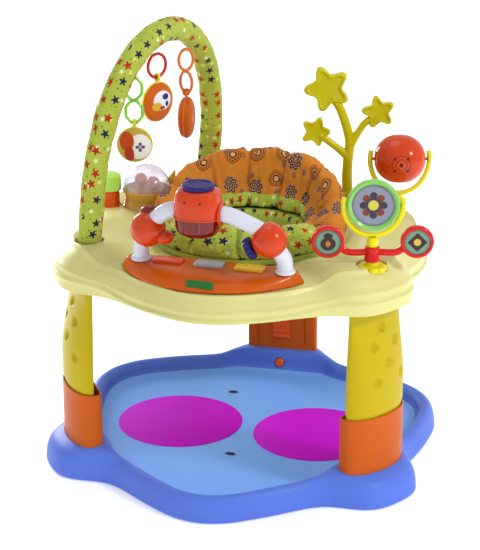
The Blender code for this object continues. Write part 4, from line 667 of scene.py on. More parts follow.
def leg_outer_depth(z):
    foot, head = LEG_OUTER_DEPTH, LEG_TOP_DEPTH
    knots = [(0.20, foot), (0.235, mix(head, foot, 0.92)), (0.265, mix(head, foot, 0.60)),
             (0.295, mix(head, foot, 0.26)), (0.32, head)]
    return through(knots, z)


def leg_half_width(z):
    return LEG_HALF_WIDTH * mix(1.0, 0.87, smooth(0.20, 0.35, z))


def leg_inner_depth(z):
    return LEG_INNER_DEPTH + 0.0055 * smooth(0.18, 0.34, z)


def d_section(z, half_width, outer_depth, inner_depth, sides=72):
    """A leg's section: flat towards the seat, bowed outward. Local +X points away from the seat."""
    loop = []
    for step in range(sides):
        angle = 2 * pi * (step + 0.5) / sides
        c, s = cos(angle), sin(angle)
        power = 1.0 if c > 0 else 2 / 7.0
        depth = outer_depth if c > 0 else inner_depth
        loop.append(Vector((depth * signed_power(c, power), half_width * signed_power(s, power), z)))
    return loop


def leg_place(angle):
    return Matrix.Rotation(radians(angle), 4, "Z") @ Matrix.Translation((LEG_CIRCLE, 0, 0))


# Base

def base_floor_radius(angle):
    plain = lobed_radius(angle, BASE_WAIST, BASE_WAIST, BASE_NOSE) - BASE_RIM_WIDTH
    fold = fold_angle(angle)
    flat = (LEG_CIRCLE - SOCKET_INNER_DEPTH - SOCKET_WALL) / cos(radians(min(fold, 40.0)))
    return mix(flat, plain, smooth(0.95 * CORNER_ANGLE, 1.45 * CORNER_ANGLE, fold))


def build_base():
    def loop(radius_of, z_of):
        return [polar(radius_of(a), a, z_of(a)) for a in AROUND]

    def lobe(angle):
        return 1 - smooth(0.75 * CORNER_ANGLE, 1.6 * CORNER_ANGLE, fold_angle(angle))

    def outer(angle):
        return lobed_radius(angle, BASE_LOBE, BASE_WAIST, BASE_NOSE)

    crest = SOCKET_TOP_Z - BASE_RIM_Z
    rows = [
        loop(lambda a: 0.02, lambda a: 0.0004),
        loop(lambda a: outer(a) - 0.010, lambda a: 0.0004),
        loop(lambda a: outer(a) - 0.003, lambda a: 0.0004),
        loop(outer, lambda a: 0.003),
        loop(lambda a: outer(a) - 0.0005, lambda a: 0.010),
        loop(lambda a: outer(a) - 0.002, lambda a: 0.026),
        loop(lambda a: outer(a) - 0.006, lambda a: 0.037),
        loop(lambda a: outer(a) - 0.013, lambda a: BASE_RIM_Z - 0.002 + 0.1 * crest * lobe(a)),
        loop(lambda a: mix(outer(a), base_floor_radius(a), mix(0.55, 0.30, lobe(a))),
             lambda a: BASE_RIM_Z + 0.45 * crest * lobe(a)),
        loop(lambda a: base_floor_radius(a) + 0.008, lambda a: BASE_RIM_Z - 0.003 + crest * lobe(a)),
        loop(lambda a: base_floor_radius(a) + 0.003, lambda a: BASE_RIM_Z - 0.009 + crest * lobe(a)),
        loop(lambda a: base_floor_radius(a) + 0.001, lambda a: BASE_FLOOR_Z + 0.016),
        loop(lambda a: base_floor_radius(a) - 0.001, lambda a: BASE_FLOOR_Z + 0.006),
        loop(lambda a: base_floor_radius(a) - 0.009, lambda a: BASE_FLOOR_Z + 0.0006),
        loop(lambda a: base_floor_radius(a) - 0.020, lambda a: BASE_FLOOR_Z),
        loop(lambda a: 0.12, lambda a: BASE_FLOOR_Z),
        loop(lambda a: 0.02, lambda a: BASE_FLOOR_Z),
    ]
    blue = plastic("base_blue_moulded", (90, 120, 218), rough=0.44, coat=0.05, clouds=0.04, edge=0.06)
    s = Shader(blue.name, blue)     # the floor, which the photograph shows lighter than the rim
    painted = s.surface.inputs["Base Color"].links[0].from_socket
    normal = s.node("ShaderNodeNewGeometry").outputs["Normal"]
    facing = s.node("ShaderNodeSeparateXYZ", {0: normal}).outputs[2]
    height = s.node("ShaderNodeSeparateXYZ", {0: s.place()}).outputs[2]
    # Painted light: upward faces low in the base, its floor, get a paler blue that stands in for light
    # falling on the floor under the tray.
    flat = s.math("MULTIPLY", s.math("GREATER_THAN", facing, 0.72), s.math("LESS_THAN", height, 0.030))
    s.put(s.blend(flat, painted, rgb((120, 170, 255))), s.surface.inputs["Base Color"])
    base = piece("base_shell", loft(rows), blue, "base", "base_pan", levels=1, angle=0)
    cutters = [drum(0.254, -0.01, 0.014, 96)]
    for angle in LEG_ANGLES.values():
        place = leg_place(angle)
        grow = RUN_GAP
        rows = [d_section(z, SOCKET_HALF_WIDTH + grow, SOCKET_OUTER_DEPTH + grow, SOCKET_INNER_DEPTH + grow)
                for z in (SOCKET_SEAT_Z, 2 * SOCKET_TOP_Z)]
        cutters.append(moved(loft(rows), place))
        hole = drum(BUTTON_HOLE_RADIUS, -0.02, 0.03, 32)
        aim = Matrix.Translation((-SOCKET_INNER_DEPTH - SOCKET_WALL, 0,
                                  BUTTON_Z)) @ Matrix.Rotation(pi / 2, 4, "Y")
        cutters.append(moved(hole, place @ aim))
    for _, x, y, turn in FLOOR_CLIPS:
        cutters.append(moved(block((0.019, 0.006, 0.006)), at(x, y, turn, BASE_FLOOR_Z)))
    cut(base, *cutters)

    magenta = Shader("mat_magenta")
    tint = magenta.blend(magenta.noise(7.0), rgb((208, 2, 222)), rgb((188, 1, 202)))
    magenta.bump(magenta.noise(700.0, 3.0), 0.00025, 0.7)
    rubber = magenta.set(Base_Color=tint, Roughness=0.62, Specular_IOR_Level=0.08)
    for name, s in (("left", -1), ("right", 1)):
        disc = turned([(AXIS, 0.0168), (MAT_RADIUS, 0.0168), (MAT_RADIUS, MAT_TOP_Z - 0.0005),
                       (MAT_RADIUS - 0.0015, MAT_TOP_Z), (AXIS, MAT_TOP_Z)], 128)
        piece(f"mat_{name}", moved(disc, at(s * MAT_SPREAD, 0)), rubber, "base",
              f"foot_mat_{name}")
    # Painted shade: dark navy ovals set in the floor slots stand in for the shade inside them.
    dark = plastic("slot_painted_shade", (24, 28, 70), rough=0.5)
    for name, x, y, turn in FLOOR_CLIPS:
        clip = turned([(AXIS, 0.0), (0.0040, 0.0), (0.0036, 0.0050), (AXIS, 0.0058)], 20)
        clip.transform(Matrix.Diagonal((2.1, 1.1, 1.0, 1.0)))
        piece(f"clip_{name}", moved(clip, at(x, y, turn, BASE_FLOOR_Z - 0.003)), dark, "base")


# Legs

def dimpled(mesh, places, radius, depth):
    """Presses smooth round hollows into a mesh, along its normals."""
    normals = [v.normal.copy() for v in mesh.vertices]
    for vertex, normal in zip(mesh.vertices, normals):
        for centre in places:
            share = (vertex.co - centre).length / radius
            if share < 1:
                vertex.co -= normal * depth * (1 - smooth(0.40, 1.0, share))
    return mesh


def build_legs():
    orange = plastic("socket_orange", (196, 86, 2), rough=0.38, coat=0.08)
    yellow = plastic("leg_yellow_moulded", (188, 166, 2), rough=0.40, coat=0.08, clouds=0.05)
    low = SOCKET_SEAT_Z + TOUCH_GAP
    top = SOCKET_TUBE_TOP_Z
    section = (SOCKET_HALF_WIDTH, SOCKET_OUTER_DEPTH, SOCKET_INNER_DEPTH)
    soft = 0.0010

    def sized(z, shrink):
        return d_section(z, *[size - shrink for size in section])

    socket_rows = [sized(low, 0), sized(mix(low, top, 0.5), 0), sized(top - soft, 0), sized(top, soft),
                   sized(top, SOCKET_TUBE_WALL - soft), sized(top - soft, SOCKET_TUBE_WALL),
                   sized(mix(low, top, 0.5), SOCKET_TUBE_WALL), sized(low, SOCKET_TUBE_WALL)]
    shrink = SOCKET_TUBE_WALL + SLIDE_GAP

    def insert(z, offset=0.0):
        return d_section(z, SOCKET_HALF_WIDTH - shrink + offset, SOCKET_OUTER_DEPTH - shrink + offset,
                         LEG_INNER_DEPTH + offset, 120)

    def leg(z, offset=0.0):
        return d_section(z, leg_half_width(z) + offset, leg_outer_depth(z) + offset,
                         leg_inner_depth(z) + offset, 120)

    shoulder = top + 0.0020
    heights = [shoulder + 0.010 + 0.0028 * i for i in range(76)]
    rows = [insert(LEG_INSERT_Z), insert(shoulder - 0.01), insert(shoulder)]
    rows += [leg(z) for z in heights] + [leg(LEG_TOP_Z)]
    places = []
    for share, z in DIMPLES:
        places.append(Vector((leg_outer_depth(z) * sqrt(1 - share ** 2), share * leg_half_width(z), z)))
    for side, angle in LEG_ANGLES.items():
        place = leg_place(angle)
        socket = piece(f"socket_{side}", moved(loft(socket_rows, wrap_rows=True), place), orange, "base",
                       f"leg_socket_{side}")
        window = block((0.012, 0.0352, 0.0592), (-SOCKET_INNER_DEPTH, 0, 0.109))
        grooves = []
        for s in (-1, 1):
            groove = tube([Vector((-SOCKET_INNER_DEPTH, s * GROOVE_SPACING / 2, z))
                           for z in (0.072, 0.10, 0.17)], 0.0022, 16)
            grooves.append(moved(groove, place))
        button_hole = tube([Vector((x, 0, BUTTON_Z)) for x in (-0.06, -0.03, 0.0)],
                           BUTTON_RADIUS + 2 * RUN_GAP, 40)
        cut(socket, moved(window, place), moved(button_hole, place), *grooves)
        body = dimpled(loft(rows), places, DIMPLE_SPREAD * DIMPLE_RADIUS, DIMPLE_DEPTH)
        piece(f"leg_shell_{side}", moved(body, place), yellow, "tray", f"leg_{side}")


# Tray

def console_share(angle):
    away = abs((angle - (270.0 + CONSOLE_TURN) + 180) % 360 - 180)
    return 1 - smooth(40.5, 47.0, away)


def lobe_share(angle):
    return 1 - smooth(0.5 * CORNER_ANGLE, 2.0 * CORNER_ANGLE, fold_angle(angle))


def tray_section(angle):
    """The tray's section from the seat's collar over the deck to the skirt, and back underneath."""
    beside_ball = LEG_ANGLES["right"] < angle or angle < LEG_ANGLES["rear"]
    rim = lobed_radius(angle, TRAY_LOBE, TRAY_WAIST, TRAY_SIDE_NOSE if beside_ball else TRAY_NOSE)
    front, lobe = console_share(angle), lobe_share(angle)
    edge = mix(EDGE_WIDTH, LOBE_EDGE_WIDTH, lobe)
    ridge = RIDGE_Z + RIDGE_RISE * lobe
    skirt = SKIRT_Z - SKIRT_DROP * lobe
    hump = HUMP_HEIGHT * (1 - smooth(HUMP_SPREAD * 0.7, HUMP_SPREAD * 1.8, abs(angle % 360.0 - HUMP_ANGLE)))
    inner = mix(DECK_Z - 0.006, FRONT_Z, front)
    deck = mix(DECK_Z + LOBE_RISE * lobe, FRONT_Z, front)
    middle = (LEDGE_RADIUS + rim - edge) / 2
    drop = deck - ridge
    wall = TRAY_WALL
    pad = 1 - smooth(1.0 * CORNER_ANGLE, 1.25 * CORNER_ANGLE, fold_angle(angle))
    pad_inner = mix(rim - edge - 0.006, LEG_CIRCLE - LEG_TOP_DEPTH - 0.006, pad)

    def under(height):
        return mix(height - wall, min(height - wall, LEG_PAD_Z), pad)

    top = [(TRAY_HOLE, LEDGE_Z - COLLAR_DROP), (TRAY_HOLE, LEDGE_Z - 0.004),
           (TRAY_HOLE + 0.002, LEDGE_Z - 0.0006),
           (LEDGE_RADIUS - 0.003, mix(LEDGE_Z, FRONT_Z, front)),
           (LEDGE_RADIUS + 0.002, mix(LEDGE_Z + 0.001, FRONT_Z, front)),
           (LEDGE_RADIUS + 0.009, inner), (mix(LEDGE_RADIUS + 0.009, middle, 0.5),
                                           mix(inner, deck, 0.7) + 0.5 * hump),
           (middle, deck - 0.001 + hump), (rim - edge, deck + 0.4 * hump),
           (rim - 0.84 * edge, deck - 0.02 * drop - 0.0016),
           (rim - 0.76 * edge, deck - 0.04 * drop + 0.0018),
           (rim - 0.68 * edge, deck - 0.06 * drop + 0.0020),
           (rim - 0.62 * edge, deck - 0.12 * drop - 0.0018),
           (rim - 0.50 * edge - 0.0010, deck - 0.19 * drop - 0.0018),
           (rim - 0.36 * edge - 0.0016, deck - 0.32 * drop - 0.0006),
           (rim - 0.24 * edge - 0.0016, deck - 0.48 * drop),
           (rim - 0.16 * edge - 0.0006, deck - 0.60 * drop),
           (rim - 0.11 * edge + 0.0014, deck - 0.66 * drop),
           (rim - 0.08 * edge + 0.0020, deck - 0.72 * drop),
           (rim - 0.07 * edge + 0.0004, deck - 0.79 * drop), (rim - 0.045 * edge, ridge + 0.004),
           (rim - 0.001, ridge + 0.0012)]
    side = [(rim + 0.0026, ridge - 0.0004), (rim + 0.0030, ridge - 0.0034), (rim + 0.0008, ridge - 0.0052),
            (rim - 0.0004, mix(ridge, skirt, 0.6)), (rim, skirt + 0.001), (rim - 0.001, skirt),
            (rim - wall + 0.001, skirt),
            (rim - wall, skirt + 0.001), (rim - wall - 0.001, ridge - 0.004)]
    bottom = [(rim - 0.20 * edge - wall, under(deck - 0.50 * drop - 0.002)),
              (rim - 0.50 * edge - wall, under(deck - 0.16 * drop)),
              (pad_inner, under(deck)), (min(middle, pad_inner - 0.012), deck - 0.001 + 0.9 * hump - wall),
              (LEDGE_RADIUS + 0.008, min(inner, LEDGE_Z) - wall - 0.002),
              (TRAY_HOLE + wall, min(inner, LEDGE_Z) - wall - 0.002),
              (TRAY_HOLE + wall, LEDGE_Z - COLLAR_DROP)]
    return [polar(r, angle, z) for r, z in top + side + bottom]


def build_tray():
    cream = plastic("tray_cream", (208, 203, 132), rough=0.36, coat=0.15, clouds=0.03, edge=0.12)
    tray = piece("tray_shell", loft([tray_section(a) for a in AROUND], wrap_rows=True), cream, "tray",
                 "tray",
                 levels=1, angle=0)
    seats = []
    for x, y, radius in ((*ARCH_FRONT, SLEEVE_RADIUS + 0.004), (*ARCH_REAR, SLEEVE_RADIUS + 0.004),
                         (SPINNER_X, SPINNER_Y, 0.0261),
                         (BALL_X, BALL_Y, 0.0166), (TREE_X, TREE_Y, 0.0206), (MUSIC_X, MUSIC_Y, 0.0456),
                         (PLUNGER_X, PLUNGER_Y, 0.0201)):
        profile = [(AXIS, TOY_LOW - TOUCH_GAP), (radius, TOY_LOW - TOUCH_GAP),
                   (radius + 0.0012, TOY_LOW + 0.05), (AXIS, TOY_LOW + 0.05)]
        seats.append(moved(turned(profile, 64), at(x, y)))
    cut(tray, *seats)


# Seat

SEAT_RADIUS = 0.1715
SEAT_RING_BORE = 0.150
SEAT_RING_TOP = 0.400
SEAT_SPLIT = 114.0
BACK_CREST_Z = 0.503
FRONT_CREST_Z = 0.446
CUSHION_INNER = 0.104
CUSHION_LIP_Z = 0.412
SEAM_PITCH = 29.0
SEAM_PHASE = 103.0
LINER_EDGE_Z = 0.432
SLING_BOTTOM_Z = 0.262
LEG_HOLE_RADIUS = 0.040
LEG_HOLE_SPREAD = 0.050


def closed_curve(points, count):
    """Evenly spread points on a smooth closed curve through the given (radius, height) corners."""
    dense = closed_smooth(points, 12)
    lengths = [0.0]
    for first, second in zip(dense, dense[1:] + dense[:1]):
        lengths.append(lengths[-1] + (second - first).length)
    out, index = [], 0
    for k in range(count):
        goal = lengths[-1] * k / count
        while lengths[index + 1] < goal:
            index += 1
        share = (goal - lengths[index]) / (lengths[index + 1] - lengths[index])
        point = dense[index].lerp(dense[(index + 1) % len(dense)], share)
        out.append((point.x, point.y))
    return out


def channel_share(angle, width):
    """1 on a sewn channel, 0 on the puffed panels between."""
    away = abs((angle - SEAM_PHASE + SEAM_PITCH / 2) % SEAM_PITCH - SEAM_PITCH / 2)
    return 1 - smooth(0.0, width, away)


def quilted_row(angle, outline, seed, side_from, side_to):
    """A seat section: crowned between the sewn channels, with creases running into them."""
    centre = Vector((sum(r for r, z in outline) / len(outline), sum(z for r, z in outline) / len(outline)))
    row = []
    for index, (r, z) in enumerate(outline):
        share = index / len(outline)
        worked = smooth(side_from, side_from + 0.06, share) * (1 - smooth(side_to - 0.06, side_to, share))
        seam = channel_share(angle, 2.6)
        crown = 1 - channel_share(angle, 0.5 * SEAM_PITCH)
        point = Vector((r, z))
        outward = (point - centre).normalized()
        sample = Vector((r * 30, z * 42, angle * 0.21 + seed))
        crease = noise.noise(sample) * 0.0022 + noise.noise(sample * 2.7) * 0.0010
        pucker = 0.0011 * sin(z * 520 + angle) * channel_share(angle, 5.0)
        shift = worked * (0.0026 * crown - 0.0066 * seam + 1.3 * crease + pucker)
        point += outward * shift
        row.append(polar(point.x, angle, point.y))
    return row


def build_seat():
    low = SEAT_RING_TOP + TOUCH_GAP
    rise = BACK_CREST_Z - FRONT_CREST_Z
    crest_knots = [(0.0, BACK_CREST_Z), (35.0, BACK_CREST_Z - 0.10 * rise),
                   (62.0, BACK_CREST_Z - 0.50 * rise),
                   (85.0, BACK_CREST_Z - 1.02 * rise), (SEAT_SPLIT, BACK_CREST_Z - 1.32 * rise)]
    orange = ring_cloth("seat_orange_print", (212, 130, 40))
    green = star_cloth("seat_green_print", (178, 194, 74))
    rows = []
    steps = 300
    for step in range(steps + 1):
        away = mix(-SEAT_SPLIT + 0.2, SEAT_SPLIT - 0.2, step / steps)
        crest = through(crest_knots, abs(away))
        tall = crest - low
        lip = CUSHION_LIP_Z
        outline = [(SEAT_RING_BORE + 0.002, low), (SEAT_RADIUS - 0.002, low),
                   (SEAT_RADIUS + 0.0005, low + 0.16 * tall),
                   (SEAT_RADIUS + 0.001, low + 0.55 * tall), (SEAT_RADIUS - 0.002, crest - 0.012),
                   (SEAT_RADIUS - 0.010, crest - 0.001), (SEAT_RADIUS - 0.021, crest + 0.001),
                   (SEAT_RADIUS - 0.032, crest - 0.005), (SEAT_RADIUS - 0.041, mix(lip, crest, 0.66)),
                   (CUSHION_INNER + 0.014, mix(lip, crest, 0.34)), (CUSHION_INNER + 0.001, lip + 0.008),
                   (CUSHION_INNER + 0.004, lip - 0.003)]
        rows.append(quilted_row(90.0 + away, closed_curve(outline, 72), 3.0, 0.10, 0.90))
    back = piece("seat_back_quilted", loft(rows), orange, "seat", "seat_back_cushion",
                 angle=0)
    back.data.materials.append(green)
    for face in back.data.polygons:
        middle = face.center
        reach = sqrt(middle.x ** 2 + middle.y ** 2)
        away = abs((degrees(atan2(middle.y, middle.x)) - 90.0 + 180) % 360 - 180)
        if reach < SEAT_RADIUS - 0.024 and middle.z < LINER_EDGE_Z - 0.020 * smooth(40.0, 80.0, away):
            face.material_index = 1

    half = 180.0 - SEAT_SPLIT
    rows = []
    steps = 170
    for step in range(steps + 1):
        away = mix(-half + 0.2, half - 0.2, step / steps)
        crest = FRONT_CREST_Z - 0.010 * smooth(0.3, 1.0, abs(away) / half)
        outline = [(SEAT_RING_BORE + 0.002, low), (SEAT_RADIUS - 0.004, low),
                   (SEAT_RADIUS - 0.001, low + 0.014),
                   (SEAT_RADIUS - 0.008, crest - 0.012), (SEAT_RADIUS - 0.022, crest),
                   (SEAT_RADIUS - 0.038, crest + 0.001),
                   (SEAT_RADIUS - 0.054, crest - 0.009), (CUSHION_INNER + 0.002, CUSHION_LIP_Z + 0.008),
                   (CUSHION_INNER + 0.005, CUSHION_LIP_Z - 0.003)]
        rows.append(quilted_row(270.0 + away, closed_curve(outline, 64), 8.0, 0.10, 0.90))
    front = piece("seat_front_quilted", loft(rows), green, "seat", "seat_front_cushion",
                  angle=0)

    rim_z = SEAT_RING_TOP - 0.010
    lip = CUSHION_INNER - 0.002
    deep = rim_z - SLING_BOTTOM_Z
    wall = 0.003
    profile = [(SEAT_RING_BORE - 0.0015, rim_z), (lip + 0.006, CUSHION_LIP_Z - 0.008),
               (lip - 0.006 - wall, rim_z + 0.004),
               (lip - 0.007 - wall, rim_z - 0.25 * deep), (0.85 * lip - wall, rim_z - 0.55 * deep),
               (0.66 * lip - 0.8 * wall, rim_z - 0.80 * deep + 0.7 * wall),
               (0.34 * lip, rim_z - 0.95 * deep + wall),
               (0.02, SLING_BOTTOM_Z + wall + 0.001), (0.004, SLING_BOTTOM_Z + wall)]
    inner = [(p.x, p.z) for p in smooth_path([(r, 0, z) for r, z in profile], 6)]
    outer = [(r + 0.8 * wall * (0.4 if r < 0.03 else 1), z - wall * (1.0 if r < 0.05 else 0.5)) for r,
             z in inner[::-1]]
    outer[-1] = (SEAT_RING_BORE - 0.0015, rim_z - wall)
    rows = []
    for r, z in inner + outer:
        row = []
        for i in range(160):
            angle = 360.0 * i / 160
            fold = 0.0016 * noise.noise(Vector((cos(radians(angle)) * 3, sin(radians(angle)) * 3, z * 30)))
            seam = 0.0016 * channel_share(angle, 2.0) * smooth(0.02, 0.06, r) * (1 - smooth(0.10, 0.12, r))
            row.append(polar(r + fold * smooth(0.02, 0.06, r) + seam, angle, z))
        rows.append(row)
    sling = piece("seat_liner", loft(rows, wrap_rows=True), green, "seat", "seat_sling",
                  angle=0)
    holes = []
    for s in (-1, 1):
        start = Vector((s * 0.6 * LEG_HOLE_SPREAD, 0.0, rim_z - 0.52 * deep))
        end = Vector((s * 1.2 * LEG_HOLE_SPREAD, -0.14, rim_z - 0.95 * deep))
        holes.append(tube([start, start.lerp(end, 0.5), end], LEG_HOLE_RADIUS, 64))
    cut(sling, *holes)

    repaint("seat_ring", plastic("ring_green", (160, 182, 76), rough=0.6, coat=0.0))


# Console and toy bar

CONSOLE_TIP = 0.157
CONSOLE_TIP_Y = -0.212
CONSOLE_FRONT_Y = -0.306
CONSOLE_BACK_Y = -0.196
CONSOLE_TOP_Z = 0.409
KEY_SIZE = (0.050, 0.026, 0.0075)
KEY_PITCH = 0.070
KEY_Y = -0.226
KEY_PROUD = 0.0045
KEY_TRAVEL = 0.0025
BAR_RADIUS = 0.0135
BAR_FLANGE = 0.007
BAR_FOOT_X = {"left": -0.117, "right": 0.130}
BAR_FOOT_Y = -0.228
BAR_BALL_X = {"left": -0.098, "right": 0.108}
HEAD_X = -0.010
BAR_BALL_Y = -0.246
BAR_BALL_Z = 0.469
BAR_BALL_RADIUS = 0.0295
BAR_TOP_Z = 0.507
BAR_TOP_Y = -0.250
HEAD_HALF = (0.039, 0.034, 0.040)
HAT_RADIUS = 0.027
HAT_HEIGHT = 0.008
KNOB_RADIUS = 0.019
KNOB_THICKNESS = 0.012
CONSOLE_PLACE = Matrix.Rotation(radians(CONSOLE_TURN), 4, "Z")


def arc_y(x, middle_y, tip_y, half_chord):
    sag = tip_y - middle_y
    radius = (half_chord ** 2 + sag ** 2) / (2 * abs(sag))
    side = 1 if sag > 0 else -1
    return middle_y + side * (radius - sqrt(max(radius ** 2 - x ** 2, 0.0)))


def console_row(x):
    front = arc_y(x, CONSOLE_FRONT_Y, CONSOLE_TIP_Y - 0.003, CONSOLE_TIP)
    back = arc_y(x, CONSOLE_BACK_Y, CONSOLE_TIP_Y + 0.003, CONSOLE_TIP)
    depth = back - front
    share = depth / (CONSOLE_BACK_Y - CONSOLE_FRONT_Y)
    low = FRONT_Z + TOUCH_GAP
    top = mix(low + 0.004, CONSOLE_TOP_Z, smooth(0.04, 0.28, share))
    slope = min(0.045, 0.42 * depth)
    corners = [(front + 0.001, low), (front, low + 0.12 * (top - low)),
               (front + 0.05 * slope, mix(low, top, 0.34)),
               (front + 0.20 * slope, mix(low, top, 0.60)), (front + 0.45 * slope, mix(low, top, 0.82)),
               (front + 0.75 * slope, mix(low, top, 0.955)), (front + 1.05 * slope, top),
               (mix(front + slope, back, 0.6), top),
               (back - 0.06 * depth, top), (back - 0.02 * depth, mix(low, top, 0.92)),
               (back, mix(low, top, 0.6)), (back, low)]
    line = smooth_path([(0, y, z) for y, z in corners], 4)
    return [Vector((x, p.y, min(p.z, top))) for p in line] + [Vector((x, mix(back, front, s), low))
                                                              for s in (0.3, 0.7)]


def rounded_rectangle(width, depth, corner, steps=6):
    points = []
    for quarter, (side_x, side_y) in enumerate(((1, 1), (-1, 1), (-1, -1), (1, -1))):
        for step in range(steps + 1):
            angle = pi / 2 * (quarter + step / steps)
            points.append((side_x * (width / 2 - corner) + corner * cos(angle),
                           side_y * (depth / 2 - corner) + corner * sin(angle)))
    return points


def cushioned_slab(outline, low, high, soft):
    """A flat outline raised between two heights, with a rounded upper edge."""
    rows = [[Vector((x, y, low)) for x, y in outline]]
    rows.append([Vector((x, y, high - soft)) for x, y in outline])
    for step in range(1, 5):
        turn = pi / 2 * step / 4
        shrink = soft * (1 - cos(turn))
        row = []
        for x, y in outline:
            reach = sqrt(x * x + y * y)
            row.append(Vector((x * (1 - shrink / reach), y * (1 - shrink / reach),
                               high - soft + soft * sin(turn))))
        rows.append(row)
    return loft(rows)


def bar_path(side, s):
    foot_x, ball_x = BAR_FOOT_X[side], BAR_BALL_X[side]
    foot_z = CONSOLE_TOP_Z + TOUCH_GAP + 0.6 * BAR_FLANGE
    straight = HEAD_HALF[0] + 0.005
    return [(foot_x, BAR_FOOT_Y, foot_z), (mix(foot_x, ball_x, 0.05), BAR_FOOT_Y - 0.004, foot_z + 0.020),
            (mix(foot_x, ball_x, 0.40), mix(BAR_FOOT_Y, BAR_BALL_Y, 0.7), BAR_BALL_Z - 0.018),
            (ball_x - 0.006 * s, BAR_BALL_Y, BAR_BALL_Z + 0.010),
            (mix(ball_x, HEAD_X + straight * s, 0.58), BAR_TOP_Y, BAR_TOP_Z - 0.009),
            (HEAD_X + straight * s, BAR_TOP_Y, BAR_TOP_Z)]


def bar_points(steps):
    return smooth_path([*bar_path("left", -1), (HEAD_X, BAR_TOP_Y, BAR_TOP_Z), *bar_path("right", 1)[::-1]],
                       steps)


def scalloped(radius, petals, depth=0.14, steps=10):
    outline = []
    for step in range(petals * steps):
        angle = 2 * pi * step / (petals * steps)
        wave = 0.5 + 0.5 * cos(petals * angle)
        reach = radius * (1 - depth + depth * sqrt(wave))
        outline.append((reach * cos(angle), reach * sin(angle)))
    return outline


def head_rows(low_share, high_share, grow=0.0, ribs=0.0):
    """Loops of the toy head between two heights; each height is a share of its half height."""
    half_x, half_y, half_z = HEAD_HALF
    widths = [(-1.0, 0.52), (-0.90, 0.76), (-0.70, 0.92), (-0.35, 0.99), (0.05, 1.0), (0.45, 0.98),
              (0.75, 0.93),
              (0.93, 0.86), (1.0, 0.70)]
    rows = []
    steps = 26
    for step in range(steps + 1):
        height = mix(low_share, high_share, step / steps)
        width = through(widths, height)
        row = []
        for k in range(96):
            angle = 2 * pi * k / 96
            c, s = cos(angle), sin(angle)
            power = 2 / 2.6
            rib = ribs * (1 if 0.22 < abs(c) < 0.36 and s < 0 else 0)
            x = (half_x * width + grow) * signed_power(c, power)
            y = ((half_y * width + grow) + rib) * signed_power(s, power)
            row.append(Vector((HEAD_X + x, BAR_TOP_Y + y, BAR_TOP_Z + height * half_z)))
        rows.append(row)
    return rows


def bar_bore(radius):
    """What the toy bar needs free through the turning head."""
    return tube([Vector((HEAD_X + x, BAR_TOP_Y, BAR_TOP_Z)) for x in (-0.07, 0.0, 0.07)], radius, 40)


def aimed(axis):
    return axis.to_track_quat("Z", "Y").to_matrix().to_4x4()


def build_keys(console):
    width, depth, height = KEY_SIZE
    low = CONSOLE_TOP_Z + KEY_PROUD - height
    pockets = []
    for index in (-1, 0, 1):
        outline = rounded_rectangle(width + 2 * RUN_GAP, depth + 2 * RUN_GAP, 0.005)
        rows = [[Vector((x + index * KEY_PITCH, y + KEY_Y, z)) for x, y in outline]
                for z in (low - KEY_TRAVEL - TOUCH_GAP, CONSOLE_TOP_Z + 0.01)]
        pockets.append(moved(loft(rows), CONSOLE_PLACE))
    cut(console, *pockets)
    keys = ((-1, "red", (226, 66, 26)), (0, "grey", (176, 176, 180)), (1, "yellow", (244, 192, 36)))
    for index, colour, paint in keys:
        cap = cushioned_slab(rounded_rectangle(width, depth, 0.005), low, low + height, 0.0022)
        cap = moved(cap, CONSOLE_PLACE @ at(index * KEY_PITCH, KEY_Y))
        gloss = plastic(f"key_{colour}_gloss", paint, rough=0.22, coat=0.4)
        piece(f"key_cap_{colour}", cap, gloss, f"key_{colour}", f"key_{colour}")


def build_plate():
    green = plastic("plate_green", (30, 104, 40), rough=0.3, coat=0.4)
    plate_x = 0.007
    front = arc_y(plate_x, CONSOLE_FRONT_Y, CONSOLE_TIP_Y - 0.003, CONSOLE_TIP)
    plate = cushioned_slab(rounded_rectangle(0.046, 0.013, 0.0035), 0.0, 0.0016, 0.0008)
    tilt = Matrix.Translation((plate_x, front + 0.0068, mix(FRONT_Z, CONSOLE_TOP_Z, 0.60)))
    tilt = tilt @ Matrix.Rotation(radians(-2.0), 4, "Z") @ Matrix.Rotation(radians(56), 4, "X")
    piece("bare_plate", moved(plate, CONSOLE_PLACE @ tilt), green, "tray")


def build_speaker():
    # Painted shade: the speaker holes are thin dots in a dark red-brown that stands in for the shade inside
    # holes; head_dots reuse this material.
    dark = plastic("speaker_dark", (70, 22, 12), rough=0.6)
    holes = []
    for x, z in ((0.030, 0.0), (0.036, 0.003), (0.042, 0.0), (0.036, -0.003), (0.030, 0.006),
                 (0.042, 0.006)):
        dot = drum(0.0011, 0.0, 0.0006, 16)
        holes.append(moved(dot, CONSOLE_PLACE @ Matrix.Translation((x, -0.262 + z, CONSOLE_TOP_Z - 0.0004))))
    piece("speaker_holes", joined(*holes), dark, "tray")
    return dark


def build_bar():
    white = plastic("bar_white_gloss", (206, 207, 218), rough=0.22, coat=0.5, clouds=0.015, edge=0.0)
    points = bar_points(10)
    bar = [tube(points, BAR_RADIUS, 40)]
    for x in BAR_FOOT_X.values():
        foot = turned([(AXIS, 0.0), (BAR_RADIUS + 0.0035, 0.0), (BAR_RADIUS + 0.0035, 0.003),
                       (BAR_RADIUS + 0.0005, BAR_FLANGE),
                       (AXIS, BAR_FLANGE)], 48, soft=0.0012)
        bar.append(moved(foot, at(x, BAR_FOOT_Y, 0, CONSOLE_TOP_Z + TOUCH_GAP)))
    piece("bar_tube", moved(joined(*bar), CONSOLE_PLACE), white, "tray", "toy_bar")
    return points


